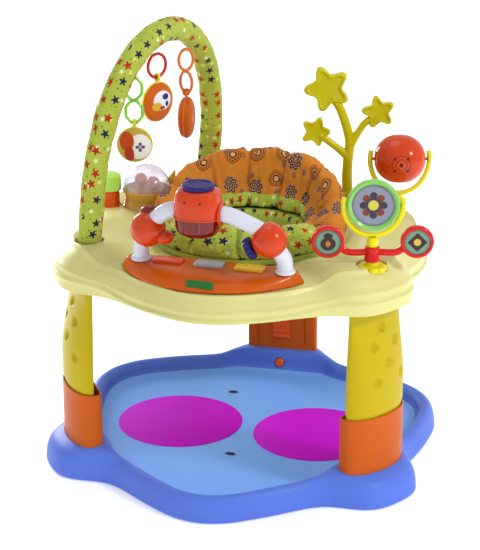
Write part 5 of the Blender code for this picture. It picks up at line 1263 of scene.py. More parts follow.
def build_knuckles():
    gloss = plastic("toy_orange_gloss", (198, 56, 2), rough=0.22, coat=0.7, clouds=0.03)
    for name, x in BAR_BALL_X.items():
        centre = Vector((x, BAR_BALL_Y, BAR_BALL_Z))
        parts = [ball(BAR_BALL_RADIUS, centre, 56, 28)]
        if name == "left":
            snout = centre + Vector((0.030, -0.004, -0.010))
            parts.append(ball(0.015, snout, 36, 18, (1.0, 1.1, 0.8)))
            for dy in (-0.005, 0.005):
                parts.append(ball(0.0024, snout + Vector((0.0125, dy - 0.003, 0.005)), 14, 8))
        seam = [centre + Vector((0, (BAR_BALL_RADIUS + 0.0001) * cos(2 * pi * k / 48),
                                 (BAR_BALL_RADIUS + 0.0001) * sin(2 * pi * k / 48))) for k in range(48)]
        parts.append(tube(seam, 0.0006, 8, cyclic=True))
        piece(f"knuckle_{name}", moved(joined(*parts), CONSOLE_PLACE), gloss, "tray",
              f"bar_ball_{name}")
    return gloss


def build_ear():
    ruby = see_through("ruby", (112, 8, 2), transmission=0.06)
    ear = Vector((BAR_BALL_X["left"] + 0.002, BAR_BALL_Y + 0.010,
                  BAR_BALL_Z + 0.5 * BAR_BALL_RADIUS + 0.006))
    disc = turned([(AXIS, 0.0), (0.018, 0.0), (0.0185, 0.007), (0.016, 0.0125), (AXIS, 0.0135)], 48,
                  soft=0.003)
    lean = aimed(Vector((-0.002, 0.006, 0.012)))
    piece("ear_disc", moved(disc, CONSOLE_PLACE @ Matrix.Translation(ear) @ lean), ruby, "tray",
          "bar_ear")
    return ruby


def build_head(gloss, ruby, dark):
    split = -0.12
    head = [loft(head_rows(split, 1.0))]
    for s in (-1, 1):
        collar = turned([(BAR_RADIUS + 0.0014, 0.0), (0.0205, 0.0), (0.0205, 0.004),
                         (BAR_RADIUS + 0.0014, 0.005)], 48,
                        closed=True, soft=0.001)
        side = Matrix.Translation((HEAD_X + s * (HEAD_HALF[0] - 0.002), BAR_TOP_Y,
                                   BAR_TOP_Z)) @ Matrix.Rotation(s * pi / 2, 4, "Y")
        head.append(moved(collar, side))
    obj = piece("head_shell", moved(joined(*head), CONSOLE_PLACE), gloss, "bar_head",
                "bar_head")
    cut(obj, moved(bar_bore(BAR_RADIUS + 0.0012), CONSOLE_PLACE))
    jaw = head_rows(-1.0, split - 0.02, -0.0012, 0.0022)
    band = head_rows(split - 0.05, split + 0.01, 0.0010)
    obj = piece("head_jaw", moved(loft(jaw), CONSOLE_PLACE), ruby, "bar_head", angle=60)
    cut(obj, moved(bar_bore(BAR_RADIUS + 0.0030), CONSOLE_PLACE))
    obj = piece("head_band", moved(loft(band), CONSOLE_PLACE), gloss, "bar_head")
    # This bore is turned by the console's angle twice, so it sits 3 degrees off the bar.
    # It is left so.
    cut(obj, moved(moved(bar_bore(BAR_RADIUS + 0.0012), CONSOLE_PLACE), CONSOLE_PLACE))
    dots = [ball(0.0017, (HEAD_X + s * 0.013, BAR_TOP_Y - HEAD_HALF[1] + 0.0009, BAR_TOP_Z + 0.024), 16, 8)
            for s in (-1, 1)]
    piece("head_dots", moved(joined(*dots), CONSOLE_PLACE), dark, "bar_head")


def build_hat():
    navy = plastic("toy_blue_gloss", (34, 30, 100), rough=0.34, coat=0.15)
    hat_low = BAR_TOP_Z + HEAD_HALF[2] + TOUCH_GAP
    hat = turned([(AXIS, hat_low + HAT_HEIGHT - 0.0016), (HAT_RADIUS - 0.008, hat_low + HAT_HEIGHT - 0.0016),
                  (HAT_RADIUS - 0.006, hat_low + HAT_HEIGHT), (HAT_RADIUS, hat_low + HAT_HEIGHT),
                  (HAT_RADIUS, hat_low),
                  (AXIS, hat_low)], 64, soft=0.0024)
    piece("hat_disc", moved(hat, CONSOLE_PLACE @ at(HEAD_X, BAR_TOP_Y)), navy, "bar_head",
          "bar_hat")
    return navy


def build_knob(points, navy):
    axis = Vector((-0.86, -0.12, -0.42)).normalized()
    seat = Vector((BAR_BALL_X["right"], BAR_BALL_Y, BAR_BALL_Z)) + axis * (BAR_BALL_RADIUS - 0.001 + RUN_GAP)
    rows = []
    for z, grow in ((0.0, -0.0016), (0.0016, 0.0), (KNOB_THICKNESS - 0.0025, 0.0),
                    (KNOB_THICKNESS - 0.0007, -0.0010),
                    (KNOB_THICKNESS, -0.0030), (KNOB_THICKNESS - 0.0012, -0.0058)):
        rows.append([Vector((x, y, z)) for x, y in scalloped(KNOB_RADIUS + grow, 9)])
    knob = moved(loft(rows), CONSOLE_PLACE @ Matrix.Translation(seat) @ aimed(axis))
    obj = piece("knob_flower", knob, navy, "bar_knob", "bar_knob")
    cut(obj, moved(tube(points, BAR_RADIUS + RUN_GAP, 32), CONSOLE_PLACE))


def build_console():
    orange = plastic("console_orange_gloss", (194, 84, 6), rough=0.30, coat=0.2)
    xs = [-CONSOLE_TIP * cos(pi * step / 90) for step in range(91)]
    console = piece("console_shell", moved(loft([console_row(x) for x in xs]), CONSOLE_PLACE), orange,
                    "tray",
                    "console_housing", angle=50)
    build_keys(console)
    build_plate()
    dark = build_speaker()
    points = build_bar()
    gloss = build_knuckles()
    ruby = build_ear()
    build_head(gloss, ruby, dark)
    build_knob(points, build_hat())


# Toys on the tray

SPINNER_X, SPINNER_Y = SEAT_RADIUS + 0.0775, -0.166
SPINNER_SHOULDER_Z = 0.4175
HUB_HEIGHT = 0.0245
HUB_OUTER = 0.0125
DISC_REACH = 0.073
DISC_RADIUS = 0.0275
DISC_THICKNESS = 0.013
DISC_RISE = 0.018
MIRROR_Z = 0.513
MIRROR_RADIUS = 0.0435
MIRROR_BORE = 0.035
MIRROR_THICKNESS = 0.013
MIRROR_YOKE_X = 0.0485
MIRROR_YOKE_DROP = 0.0525
YOKE_ROD = 0.004
PIVOT_RADIUS = 0.0026
BALL_X, BALL_Y, BALL_Z = SEAT_RADIUS + 0.0745, 0.133, 0.507
BALL_RADIUS = 0.0435
BALL_HALF = 0.0455
BALL_YOKE_X = 0.0525
BALL_YOKE_DROP = 0.063
TREE_X, TREE_Y = 0.144, SEAT_RADIUS + 0.0165
TREE_BALL_RADIUS = 0.0125
MUSIC_X, MUSIC_Y = -(SEAT_RADIUS + 0.036), 0.082
MUSIC_BASE_TOP = 0.4375
DOME_RADIUS = 0.043
DOME_WALL = 0.0016
PLUNGER_X, PLUNGER_Y = MUSIC_X - 0.0645, 0.066
PLUNGER_TOP_Z = 0.464
HUB_LOW = SPINNER_SHOULDER_Z + TOUCH_GAP
HUB_HIGH = HUB_LOW + HUB_HEIGHT
HUB_BORE = 0.006 + RUN_GAP
ARM_Z = mix(HUB_LOW, HUB_HIGH, 0.6)
DISC_Z = ARM_Z + DISC_RISE
DISC_RECESS = DISC_RADIUS - 0.006
DISC_HALF = DISC_THICKNESS / 2


def coin(radius, half, soft=0.0006, steps=72):
    """A disc whose two faces carry a flat UV map in metres, centred on the disc."""
    rows = []
    for r, z in ((radius - soft, -half), (radius, -half + soft), (radius, half - soft),
                 (radius - soft, half)):
        rows.append(circle(r, z, steps))
    return loft(rows)


def yoke_points(half_width, drop, centre_z, over=14.0, steps=56):
    points = []
    for step in range(steps + 1):
        angle = radians(mix(over, -180.0 - over, step / steps))
        points.append(Vector((half_width * cos(angle), 0, centre_z + drop * sin(angle))))
    return points


def yoke_shape(half_width, drop, centre_z, eye):
    """A flat moulded band round a toy, with an eye at each pivot."""
    parts = [tube(yoke_points(half_width, drop, centre_z), YOKE_ROD, 20, squash=(1.12, 0.62),
                  up=Vector((0, 1, 0)))]
    for s in (-1, 1):
        ring = turned([(PIVOT_RADIUS + RUN_GAP, -0.0022), (eye, -0.0022), (eye, 0.0022),
                       (PIVOT_RADIUS + RUN_GAP, 0.0022)],
                      32, closed=True, soft=0.0006)
        parts.append(moved(ring, Matrix.Translation((s * half_width, 0, centre_z))
                           @ Matrix.Rotation(pi / 2, 4, "Y")))
    return parts


def build_spinner_arms(place, red):
    parts = [turned([(HUB_BORE, HUB_HIGH), (HUB_OUTER - 0.001, HUB_HIGH), (HUB_OUTER, HUB_HIGH - 0.003),
                     (HUB_OUTER - 0.0015, ARM_Z),
                     (HUB_OUTER + 0.001, HUB_LOW + 0.003), (HUB_OUTER + 0.001, HUB_LOW), (HUB_BORE, HUB_LOW)],
                    48, closed=True,
                    soft=0.001)]
    for s in (-1, 1):
        path = smooth_path([(s * (HUB_OUTER - 0.003), 0, ARM_Z), (s * 0.026, 0, ARM_Z - 0.001),
                            (s * 0.040, 0, ARM_Z),
                            (s * 0.0535, 0, ARM_Z + 0.0075)], 8)
        parts.append(tube(path, 0.0052, 24, squash=(0.8, 1.1)))
        ring = turned([(DISC_RECESS, DISC_HALF - 0.0006), (DISC_RECESS + 0.0012, DISC_HALF),
                       (DISC_RADIUS - 0.0016, DISC_HALF), (DISC_RADIUS, DISC_HALF - 0.002),
                       (DISC_RADIUS, -DISC_HALF + 0.002), (DISC_RADIUS - 0.0016, -DISC_HALF),
                       (DISC_RECESS + 0.0012, -DISC_HALF), (DISC_RECESS, -DISC_HALF + 0.0006)],
                      72, closed=True, soft=0.0012)
        parts.append(moved(ring, upright(DISC_Z, s * DISC_REACH)))
    piece("spinner_cross", moved(joined(*parts), place), red, "spinner_arms", "spinner_arms")


def build_spinner_faces(place):
    mint = (96, 124, 104)
    faces = {
        "left": [("round", 0.0, 0.0, 0.0180, 0.0180, (112, 142, 120)),
                 ("round", 0.0, -0.003, 0.0125, 0.0115, (46, 34, 30)),
                 ("round", 0.0, 0.0105, 0.0075, 0.0055, (46, 34, 30)),
                 ("diamond", 0.0, -0.003, 0.0050, 0.0060, (190, 110, 50))],
        "right": [("round", 0.0, 0.0, 0.0180, 0.0180, (112, 142, 120)),
                  ("diamond", 0.0, 0.0, 0.0165, 0.0165, (48, 34, 34)),
                  ("round", 0.0, 0.0, 0.0060, 0.0060, (206, 170, 60))]}
    for side, s in (("left", -1), ("right", 1)):
        insert = moved(coin(DISC_RECESS - TOUCH_GAP, DISC_HALF - 0.0015),
                       place @ upright(DISC_Z, s * DISC_REACH))
        piece(f"spinner_face_{side}", insert, printed(f"face_print_{side}", mint, faces[side]),
              "spinner_arms",
              f"spinner_insert_{side}")


def build_mirror(place, yellow):
    parts = yoke_shape(MIRROR_YOKE_X, MIRROR_YOKE_DROP, MIRROR_Z, 0.0062)
    stub_low = HUB_HIGH + TOUCH_GAP
    parts.append(turned([(HUB_BORE, stub_low), (0.0095, stub_low), (0.0095, stub_low + 0.010),
                         (0.0075, stub_low + 0.0155),
                         (HUB_BORE, stub_low + 0.0165)], 48, closed=True, soft=0.001))
    piece("mirror_band", moved(joined(*parts), place), yellow, "mirror_yoke", "mirror_yoke")
    half = MIRROR_THICKNESS / 2
    outer, inner = MIRROR_RADIUS, MIRROR_BORE
    ring = turned([(inner, 0.0032), (inner + 0.0030, half - 0.001), (inner + 0.0042, half),
                   (outer - 0.0022, half),
                   (outer, half - 0.003), (outer, -half + 0.003), (outer - 0.0022, -half),
                   (inner + 0.0042, -half),
                   (inner + 0.0030, -half + 0.001), (inner, -0.0032)], 96, closed=True, soft=0.0012)
    pins = [tube([Vector((s * (outer - 0.002), 0, MIRROR_Z)), Vector((s * (outer + 0.002), 0, MIRROR_Z)),
                  Vector((s * (MIRROR_YOKE_X + 0.001), 0, MIRROR_Z))], PIVOT_RADIUS, 24) for s in (-1, 1)]
    lime = plastic("mirror_lime", (128, 190, 96), rough=0.2, coat=0.5)
    piece("mirror_rim", moved(joined(moved(ring, upright(MIRROR_Z)), *pins), place), lime, "mirror",
          "mirror_ring")
    sun = [("round", 0.0, 0.0, 0.0315, 0.0315, (128, 132, 150))]
    for step in range(8):
        angle = 2 * pi * step / 8
        sun.append(("round", 0.0165 * cos(angle), 0.0165 * sin(angle), 0.0062, 0.0062,
                    (120, 52, 34) if step % 2 else (52, 46, 60)))
    sun += [("round", 0.0, 0.0, 0.0135, 0.0135, (60, 50, 62)),
            ("round", 0.0, 0.0, 0.0085, 0.0085, (196, 188, 70))]
    plate = moved(coin(MIRROR_BORE - TOUCH_GAP, 0.0025), place @ upright(MIRROR_Z))
    face = printed("mirror_print", (112, 116, 132), sun, rough=0.10)
    piece("mirror_face", plate, face, "mirror", "mirror_plate")


def build_spinner():
    place = at(SPINNER_X, SPINNER_Y, TOY_TURN)
    yellow = plastic("toy_yellow_gloss", (222, 208, 10), rough=0.24, coat=0.4)
    red = plastic("toy_red_gloss", (204, 8, 8), rough=0.2, coat=0.6)
    low = TOY_LOW
    rows = []
    for z, grow in ((0.0, -0.001), (0.001, 0.0), (0.006, -0.0004), (0.0082, -0.002), (0.009, -0.005),
                    (0.0094, -0.011)):
        rows.append([Vector((x, y, low + z)) for x, y in scalloped(0.0255 + grow, 8)])
    stem = turned([(AXIS, SPINNER_SHOULDER_Z), (0.0105, SPINNER_SHOULDER_Z), (0.0125, low + 0.005),
                   (AXIS, low + 0.005)],
                  40, soft=0.0015)
    piece("spinner_flower", moved(joined(loft(rows), stem), place), yellow, "tray",
          "spinner_base")
    build_spinner_arms(place, red)
    build_spinner_faces(place)
    build_mirror(place, yellow)
    return yellow


def build_flip_ball(yellow):
    place = at(BALL_X, BALL_Y, TOY_TURN)
    low = TOY_LOW
    shoulder = 0.419
    pin_top = BALL_Z - BALL_YOKE_DROP + 0.002
    stem = turned([(AXIS, pin_top), (0.0045, pin_top), (0.0045, shoulder), (0.0080, shoulder),
                   (0.0095, low + 0.008),
                   (0.0125, low + 0.004), (0.016, low + 0.0025), (0.016, low), (AXIS, low)], 48, soft=0.001)
    piece("ball_post", moved(stem, place), yellow, "tray", "ball_stem")
    stub = shoulder + TOUCH_GAP
    parts = yoke_shape(BALL_YOKE_X, BALL_YOKE_DROP, BALL_Z, 0.0066)
    parts.append(turned([(0.0045 + RUN_GAP, stub), (0.0075, stub), (0.0090, stub + 0.012),
                         (0.0070, stub + 0.0235),
                         (0.0045 + RUN_GAP, stub + 0.0240)], 48, closed=True, soft=0.001))
    piece("ball_band", moved(joined(*parts), place), yellow, "ball_yoke", "ball_yoke")
    barrel = [(AXIS, BALL_HALF), (0.25 * BALL_RADIUS, 0.985 * BALL_HALF),
              (0.55 * BALL_RADIUS, 0.87 * BALL_HALF),
              (0.80 * BALL_RADIUS, 0.64 * BALL_HALF), (0.95 * BALL_RADIUS, 0.36 * BALL_HALF),
              (BALL_RADIUS, 0.0)]
    knots = [(r, 0, h) for r, h in barrel] + [(r, 0, -h) for r, h in barrel[-2::-1]]
    profile = [(max(p.x, AXIS), p.z) for p in smooth_path(knots, 5)]
    body = turned(profile, 96)
    ink = (96, 22, 12)
    length = 2 * pi * BALL_RADIUS
    stamps = []
    middle = 0.5 * sum((Vector(b) - Vector(a)).length for a, b in zip(profile, profile[1:]))
    for turn in (0.25, 0.75):
        u = turn * length
        stamps += [("round", u, middle, 0.0170, 0.0170, ink),
                   ("round", u, middle, 0.0158, 0.0158, (196, 60, 4)),
                   ("diamond", u, middle, 0.0120, 0.0120, ink),
                   ("diamond", u, middle, 0.0104, 0.0104, (206, 72, 8))]
        stamps += [("round", u + x, middle + y, 0.0030, 0.0030, ink) for y in (0.0115, -0.0115)
                   for x in (-0.0115, 0.0115)]
        stamps.append(("round", u, middle, 0.0040, 0.0040, ink))
    turn = Matrix.Translation((0, 0, BALL_Z)) @ Matrix.Rotation(pi / 2, 4, "Y")
    gloss = printed("ball_print", (196, 58, 3), stamps, rough=0.18)
    piece("ball_barrel", moved(body, place @ turn), gloss, "flip_ball", "flip_ball")
    rings = []
    for s in (-1, 1):
        rings.append(tube([Vector((s * (BALL_HALF - 0.003), 0, BALL_Z)), Vector((s * BALL_HALF, 0, BALL_Z)),
                           Vector((s * (BALL_YOKE_X + 0.001), 0, BALL_Z))], PIVOT_RADIUS, 24))
    piece("ball_pins", moved(joined(*rings), place), plastic("ball_pin_orange", (206, 62, 6), rough=0.25),
          "flip_ball")


def puffy_star(radius, thickness, x, z, tilt):
    """A stuffed-looking five-point star with round tips, a raised rim and a sunk face."""
    outline = []
    steps = 120
    for step in range(steps):
        angle = 2 * pi * step / steps
        wave = 0.5 + 0.5 * cos(5 * angle)
        reach = radius * (0.64 + 0.36 * wave ** 1.25)
        turn = angle + pi / 2 + radians(tilt)
        outline.append((reach * cos(turn), reach * sin(turn)))
    rows = []
    for scale, depth in ((0.30, 0.62), (0.70, 0.66), (0.76, 0.72), (0.80, 0.94), (0.85, 1.0), (0.90, 0.97),
                         (0.965, 0.75), (1.0, 0.35)):
        rows.append([Vector((x + scale * px, -depth * thickness / 2, z + scale * pz)) for px, pz in outline])
    rows += [[Vector((p.x, -p.y, p.z)) for p in row] for row in rows[::-1]]
    return loft(rows)


def build_star_tree():
    place = at(TREE_X, TREE_Y, TOY_TURN)
    low = TOY_LOW
    centre_z = low + TREE_BALL_RADIUS + 0.003
    cup_high = centre_z + 0.006
    yellow = plastic("star_yellow", (192, 181, 1), rough=0.26, coat=0.35, clouds=0.04)
    cup = turned([(0.0132, cup_high), (0.0165, cup_high), (0.0182, low + 0.010), (0.020, low + 0.004),
                  (0.020, low), (0.012, low),
                  (0.0125, low + 0.008)], 64, closed=True, soft=0.0010)
    piece("tree_cup", moved(cup, place), yellow, "tray", "tree_socket")
    trunk = smooth_path([(0, 0, centre_z), (-0.002, 0, 0.450), (-0.001, 0, 0.482), (0.002, 0, 0.515),
                         (-0.006, 0, 0.550),
                         (-0.018, 0, 0.581), (-0.032, 0, 0.602)], 8)
    radii = [mix(1.0, 0.78, i / (len(trunk) - 1)) for i in range(len(trunk))]
    right = smooth_path([(0.001, 0, 0.508), (0.014, 0, 0.530), (0.028, 0, 0.551), (0.046, 0, 0.564)], 8)
    left = smooth_path([(-0.001, 0, 0.490), (-0.016, 0, 0.502), (-0.034, 0, 0.516), (-0.052, 0, 0.529)], 8)
    flare = [mix(1.35, 1.0, min(1.0, i / 10)) for i in range(len(right))]
    parts = [ball(TREE_BALL_RADIUS, (0, 0, centre_z), 40, 20),
             tube(trunk, 0.0100, 32, radii, squash=(0.85, 1.0)),
             tube(right, 0.0068, 24, flare, squash=(0.85, 1.0)),
             tube(left, 0.0068, 24, flare, squash=(0.85, 1.0)),
             puffy_star(0.043, 0.017, -0.040, 0.6156, 22), puffy_star(0.028, 0.013, -0.0606, 0.536, -20),
             puffy_star(0.031, 0.014, 0.0527, 0.5726, 12)]
    piece("tree_with_stars", moved(joined(*parts), place), yellow, "star_tree", "star_tree")


def build_music_toy():
    place = at(MUSIC_X, MUSIC_Y)
    low = TOY_LOW
    amber = see_through("music_amber_clear", (226, 172, 72), rough=0.14, transmission=0.40)
    base = turned([(AXIS, MUSIC_BASE_TOP), (DOME_RADIUS - 0.002, MUSIC_BASE_TOP),
                   (DOME_RADIUS + 0.001, MUSIC_BASE_TOP),
                   (DOME_RADIUS + 0.002, MUSIC_BASE_TOP - 0.003), (0.0415, MUSIC_BASE_TOP - 0.010),
                   (0.0405, MUSIC_BASE_TOP - 0.018),
                   (0.042, low + 0.006), (0.045, low + 0.003), (0.045, low), (AXIS, low)], 96, soft=0.0014)
    piece("music_drum", moved(base, place), amber, "tray", "music_base")
    floor = MUSIC_BASE_TOP + TOUCH_GAP
    clear = see_through("dome_clear", (238, 234, 244), rough=0.12, transmission=0.84, ior=1.35)
    arc = [(DOME_RADIUS * cos(pi / 2 * i / 24), floor + DOME_RADIUS * sin(pi / 2 * i / 24))
           for i in range(24)]
    hollow = DOME_RADIUS - DOME_WALL
    inside = [(hollow * cos(pi / 2 * i / 24), floor + hollow * sin(pi / 2 * i / 24)) for i in range(24)]
    apex = [(0.0006, floor + DOME_RADIUS), (0.0006, floor + hollow)]
    dome = turned(arc + apex + inside[::-1], 96, closed=True)
    piece("dome_shell", moved(dome, place), clear, "tray", "music_dome")
    pink = plastic("popper_pink_gloss", (240, 150, 128), rough=0.25, coat=0.3)
    for side, s in (("left", -1), ("right", 1)):
        popper = ball(0.0115, (s * 0.014, -0.008 * s, floor + 0.0115 + TOUCH_GAP), 40, 20)
        piece(f"popper_{side}", moved(popper, place), pink, "tray", f"music_ball_{side}")

    tab = tube(smooth_path([(0.036, 0.020, floor + 0.004), (0.043, 0.022, floor + 0.018),
                            (0.047, 0.022, floor + 0.030)], 6),
               0.0075, 24, [mix(1.0, 0.12, (i / 12) ** 1.5) for i in range(13)], squash=(0.5, 1.0))
    piece("dome_tab", moved(tab, place), plastic("tab_yellow", (222, 206, 70), rough=0.3), "tray")

    press = at(PLUNGER_X, PLUNGER_Y)
    drum = plastic("drum_orange", (214, 82, 22), rough=0.25, coat=0.4)
    bore = 0.0065
    body_top = PLUNGER_TOP_Z - 0.012
    wall = 0.0165
    body = turned([(bore + RUN_GAP, low + 0.004), (bore + RUN_GAP, body_top), (wall, body_top),
                   (wall, low + 0.016),
                   (wall - 0.0008, low + 0.0145), (wall, low + 0.013), (wall, low + 0.004),
                   (wall + 0.003, low + 0.002),
                   (wall + 0.003, low), (bore + RUN_GAP, low)], 72, closed=True, soft=0.0008)
    piece("press_drum", moved(body, press), drum, "tray", "plunger_housing")
    cap_low = PLUNGER_TOP_Z - 0.030
    inside = wall + RUN_GAP
    ceiling = body_top + 0.008 + TOUCH_GAP
    pin_low = low + 0.004 + 0.008 + TOUCH_GAP
    cap = turned([(AXIS, PLUNGER_TOP_Z + 0.002), (0.014, PLUNGER_TOP_Z + 0.0014),
                  (0.020, PLUNGER_TOP_Z - 0.003),
                  (0.020, cap_low + 0.004), (0.0204, cap_low + 0.003), (0.0204, cap_low), (inside, cap_low),
                  (inside, ceiling),
                  (bore, ceiling), (bore, pin_low), (AXIS, pin_low)], 72, soft=0.0016)
    lime = plastic("cap_lime", (176, 222, 92), rough=0.3, coat=0.3)
    piece("press_cap", moved(cap, press), lime, "plunger_cap", "plunger_cap")


# Arch and hanging toys

ARCH_FRONT = (-(SEAT_RADIUS + 0.0705), -0.153)
ARCH_REAR = (-0.134, SEAT_RADIUS + 0.0535)
ARCH_STRAIGHT = 0.082
ARCH_RISE = 0.260
ARCH_POWER = 2.10
ARCH_LEAN = 0.105
SLEEVE_RADIUS = 0.0215
FRAME_RADIUS = 0.0095
LOOP_ROD = 0.0018
LOOP_HALF = 0.0065
LINK_ROD = 0.003
HANGING = {
    "left": {"turn": 1.070, "face": 13.0, "loop": 0.0096},
    "middle": {"turn": 1.445, "face": 58.0, "loop": 0.0100},
    "right": {"turn": 1.925, "face": 95.0, "loop": 0.0081},
}
LONG_LINK_HEIGHT = 0.084
LONG_LINK_WIDTH = 0.034
LINK_RING_RADIUS = 0.0235
EYELET_RADIUS = 0.0070
EYELET_THICKNESS = 0.0050


def arch_up():
    front, rear = Vector((*ARCH_FRONT, 0)), Vector((*ARCH_REAR, 0))
    along = (rear - front).normalized()
    across = Vector((along.y, -along.x, 0))
    return front, rear, along, Vector((0, 0, cos(ARCH_LEAN))) + across * sin(ARCH_LEAN)


def arch_point(turn):
    front, rear, along, up = arch_up()
    half = (rear - front).length / 2
    middle = (front + rear) / 2 + Vector((0, 0, TOY_LOW))
    c, s = cos(turn), sin(turn)
    run = -half * signed_power(c, 2 / ARCH_POWER)
    return middle + along * run + up * (ARCH_STRAIGHT + ARCH_RISE * abs(s) ** (2 / ARCH_POWER))


def arch_points(steps, straight_steps):
    front, rear, _, up = arch_up()
    foot = Vector((0, 0, TOY_LOW))
    rise = [up * ARCH_STRAIGHT * i / straight_steps for i in range(straight_steps)]
    points = [front + foot + r for r in rise]
    points += [arch_point(pi * step / steps) for step in range(steps + 1)]
    return points + [rear + foot + r for r in rise[::-1]]


def link_top(key):
    spec = HANGING[key]
    return arch_point(spec["turn"]).z - SLEEVE_RADIUS - spec["loop"]


def hang_place(key):
    spot = arch_point(HANGING[key]["turn"])
    return at(spot.x, spot.y, HANGING[key]["face"])


def build_arch():
    points = arch_points(230, 60)
    lengths = [0.0]
    for first, second in zip(points, points[1:]):
        lengths.append(lengths[-1] + (second - first).length)
    tangents = [(points[min(i + 1, len(points) - 1)] - points[max(i - 1, 0)]).normalized()
                for i in range(len(points))]
    _, _, along, up = arch_up()
    across = along.cross(up).normalized()
    rows = []
    sides = 72
    for i, (point, tangent) in enumerate(zip(points, tangents)):
        inward = across.cross(tangent).normalized()
        row = []
        run = lengths[i]
        ends = min(run, lengths[-1] - run)
        for k in range(sides):
            angle = 2 * pi * k / sides
            direction = inward * cos(angle) + across * sin(angle)
            sample = point + direction * 0.03
            bend = 1 - abs(tangent.dot(up)) if ends > 0.09 else 0.0
            inner = max(0.0, cos(angle)) if inward.z < 0 else max(0.0, -cos(angle))
            ruck = noise.noise(Vector((run * 62, angle * 0.8, 5.0)))
            rumple = 0.0011 * noise.noise(sample * 26) + 0.0007 * noise.noise(sample * 60)
            fold = -0.0030 * max(0.0, ruck) * inner * smooth(0.02, 0.5, bend + 0.15)
            band = -0.0016 * max(0.0, sin(run * 105 + 2.0 * noise.noise(sample * 9)) - 0.55) * (0.4 + inner)
            tuck = -0.0022 * (1 - smooth(0.0, 0.014, ends))
            row.append(point + direction * (SLEEVE_RADIUS - 0.0006 + rumple + fold + band + tuck))
        rows.append(row)
    parts = [loft(rows)]
    for key, spec in HANGING.items():
        spot = arch_point(spec["turn"])
        low = link_top(key) - 2 * LINK_ROD - LOOP_ROD - RUN_GAP
        root = spot.z - 0.72 * SLEEVE_RADIUS
        path = [(0, LOOP_HALF, root)]
        path += [(0, LOOP_HALF * cos(pi * s / 10), low + LOOP_HALF * (1 - sin(pi * s / 10)))
                 for s in range(11)]
        path.append((0, -LOOP_HALF, root))
        place = at(spot.x, spot.y, spec["face"])
        parts.append(moved(tube(smooth_path(path, 3), LOOP_ROD, 16, squash=(1.0, 1.0)), place))
    green = star_cloth("arch_green_print", (174, 186, 68))
    sleeve = piece("arch_sleeve_soft", joined(*parts), green, "tray", "arch_sleeve", angle=0)
    cut(sleeve, tube([points[0] - up * 0.02] + points[::4] + [points[-1] - up * 0.02],
                     FRAME_RADIUS + TOUCH_GAP, 24))
    sleeve.data.set_sharp_from_angle(angle=radians(75))


def build_links():
    half = LONG_LINK_HEIGHT / 2 + 0.6 * LINK_ROD

    def loop(shape, width, height, centre_z):
        a, b = width / 2 - LINK_ROD, height / 2 - LINK_ROD
        if shape == "hexagon":
            corners = ((-0.28, 1), (0.28, 1), (0.90, 0.52), (1.0, 0.30), (1.0, -0.30), (0.90, -0.52),
                       (0.28, -1), (-0.28, -1),
                       (-0.90, -0.52), (-1.0, -0.30), (-1.0, 0.30), (-0.90, 0.52))
            path = closed_smooth([(a * x, 0, centre_z + b * z) for x, z in corners], 5)
        else:
            path = [Vector((a * cos(2 * pi * i / 64), 0, centre_z + b * sin(2 * pi * i / 64)))
                    for i in range(64)]
        return path

    for key, name, colour, slot, shape in (("left", "green", (142, 210, 60), "lime", "hexagon"),
                                           ("right", "orange", (222, 118, 34), "toy_orange", "oval")):
        top = link_top(key)
        paint = see_through(f"link_{name}_clear", colour, rough=0.14, transmission=0.3)
        parts = []
        for twist, centre_z in ((-54, top - half / 2), (58, top - LONG_LINK_HEIGHT + half / 2)):
            path = loop(shape, LONG_LINK_WIDTH, half, centre_z)
            if shape == "oval":
                path = [Matrix.Rotation(radians(twist), 3, "Z") @ p for p in path]
            parts.append(tube(path, LINK_ROD, 20, cyclic=True))
        piece(f"chain_{name}", moved(joined(*parts), hang_place(key)), paint, f"link_{key}",
              f"link_{name}")
    top = link_top("middle")
    ring = tube(loop("oval", 2 * LINK_RING_RADIUS, 2 * LINK_RING_RADIUS, top - LINK_RING_RADIUS), LINK_ROD,
                20, cyclic=True)
    ruby = see_through("link_red_clear", (196, 24, 12), rough=0.12, transmission=0.3)
    piece("ring_red", moved(ring, hang_place("middle")), ruby, "link_middle", "link_red")


def pillow_shape(radius, thickness, centre_z, tall=1.0, fullness=1.15):
    """A stuffed round pillow: full in the middle, drawn in and puckered at its edge seam."""
    rows = []
    count, sides = 17, 96
    for row in range(-count, count + 1):
        share = row / count
        reach = max(radius * sqrt(max(0.0, 1 - abs(share) ** 2.2)), 0.03 * radius)
        line = []
        for k in range(sides):
            angle = 2 * pi * k / sides
            pucker = 1 - 0.018 * (1 - abs(share)) * (0.5 + 0.5 * cos(26 * angle))
            lump = 1 + 0.03 * noise.noise(Vector((cos(angle) * 1.6, sin(angle) * 1.6,
                                                  share * 2 + radius * 90)))
            y = thickness / 2 * (1 if share > 0 else -1) * abs(share) ** fullness
            x = reach * cos(angle) * pucker * lump
            line.append(Vector((x, y, centre_z + tall * reach * sin(angle) * pucker * lump)))
        rows.append(line)
    mesh = loft(rows)
    flat = mesh.uv_layers["UVMap"].data
    for corner in mesh.loops:
        place = mesh.vertices[corner.vertex_index].co
        flat[corner.index].uv = (place.x, place.z - centre_z)
    return mesh


def soft_print(name, ground, stamps):
    """A plush face with flat felt shapes on it, by its flat UV map."""
    s = Shader(name)
    ground = s.blend(s.noise(55.0, 4.0), rgb(shade(ground, 0.86)), rgb(shade(ground, 1.06)))
    painted, (relief, *others) = stamped(s, ground, stamps)
    for mask in others:
        relief = s.math("MAXIMUM", relief, mask)
    s.bump(relief, 0.0004, 0.6)
    s.bump(s.noise(900.0, 3.0), 0.0003, 0.7)
    return s.set(Base_Color=painted, Roughness=0.95, Sheen_Weight=0.4, Sheen_Roughness=0.4,
                 Specular_IOR_Level=0.2)


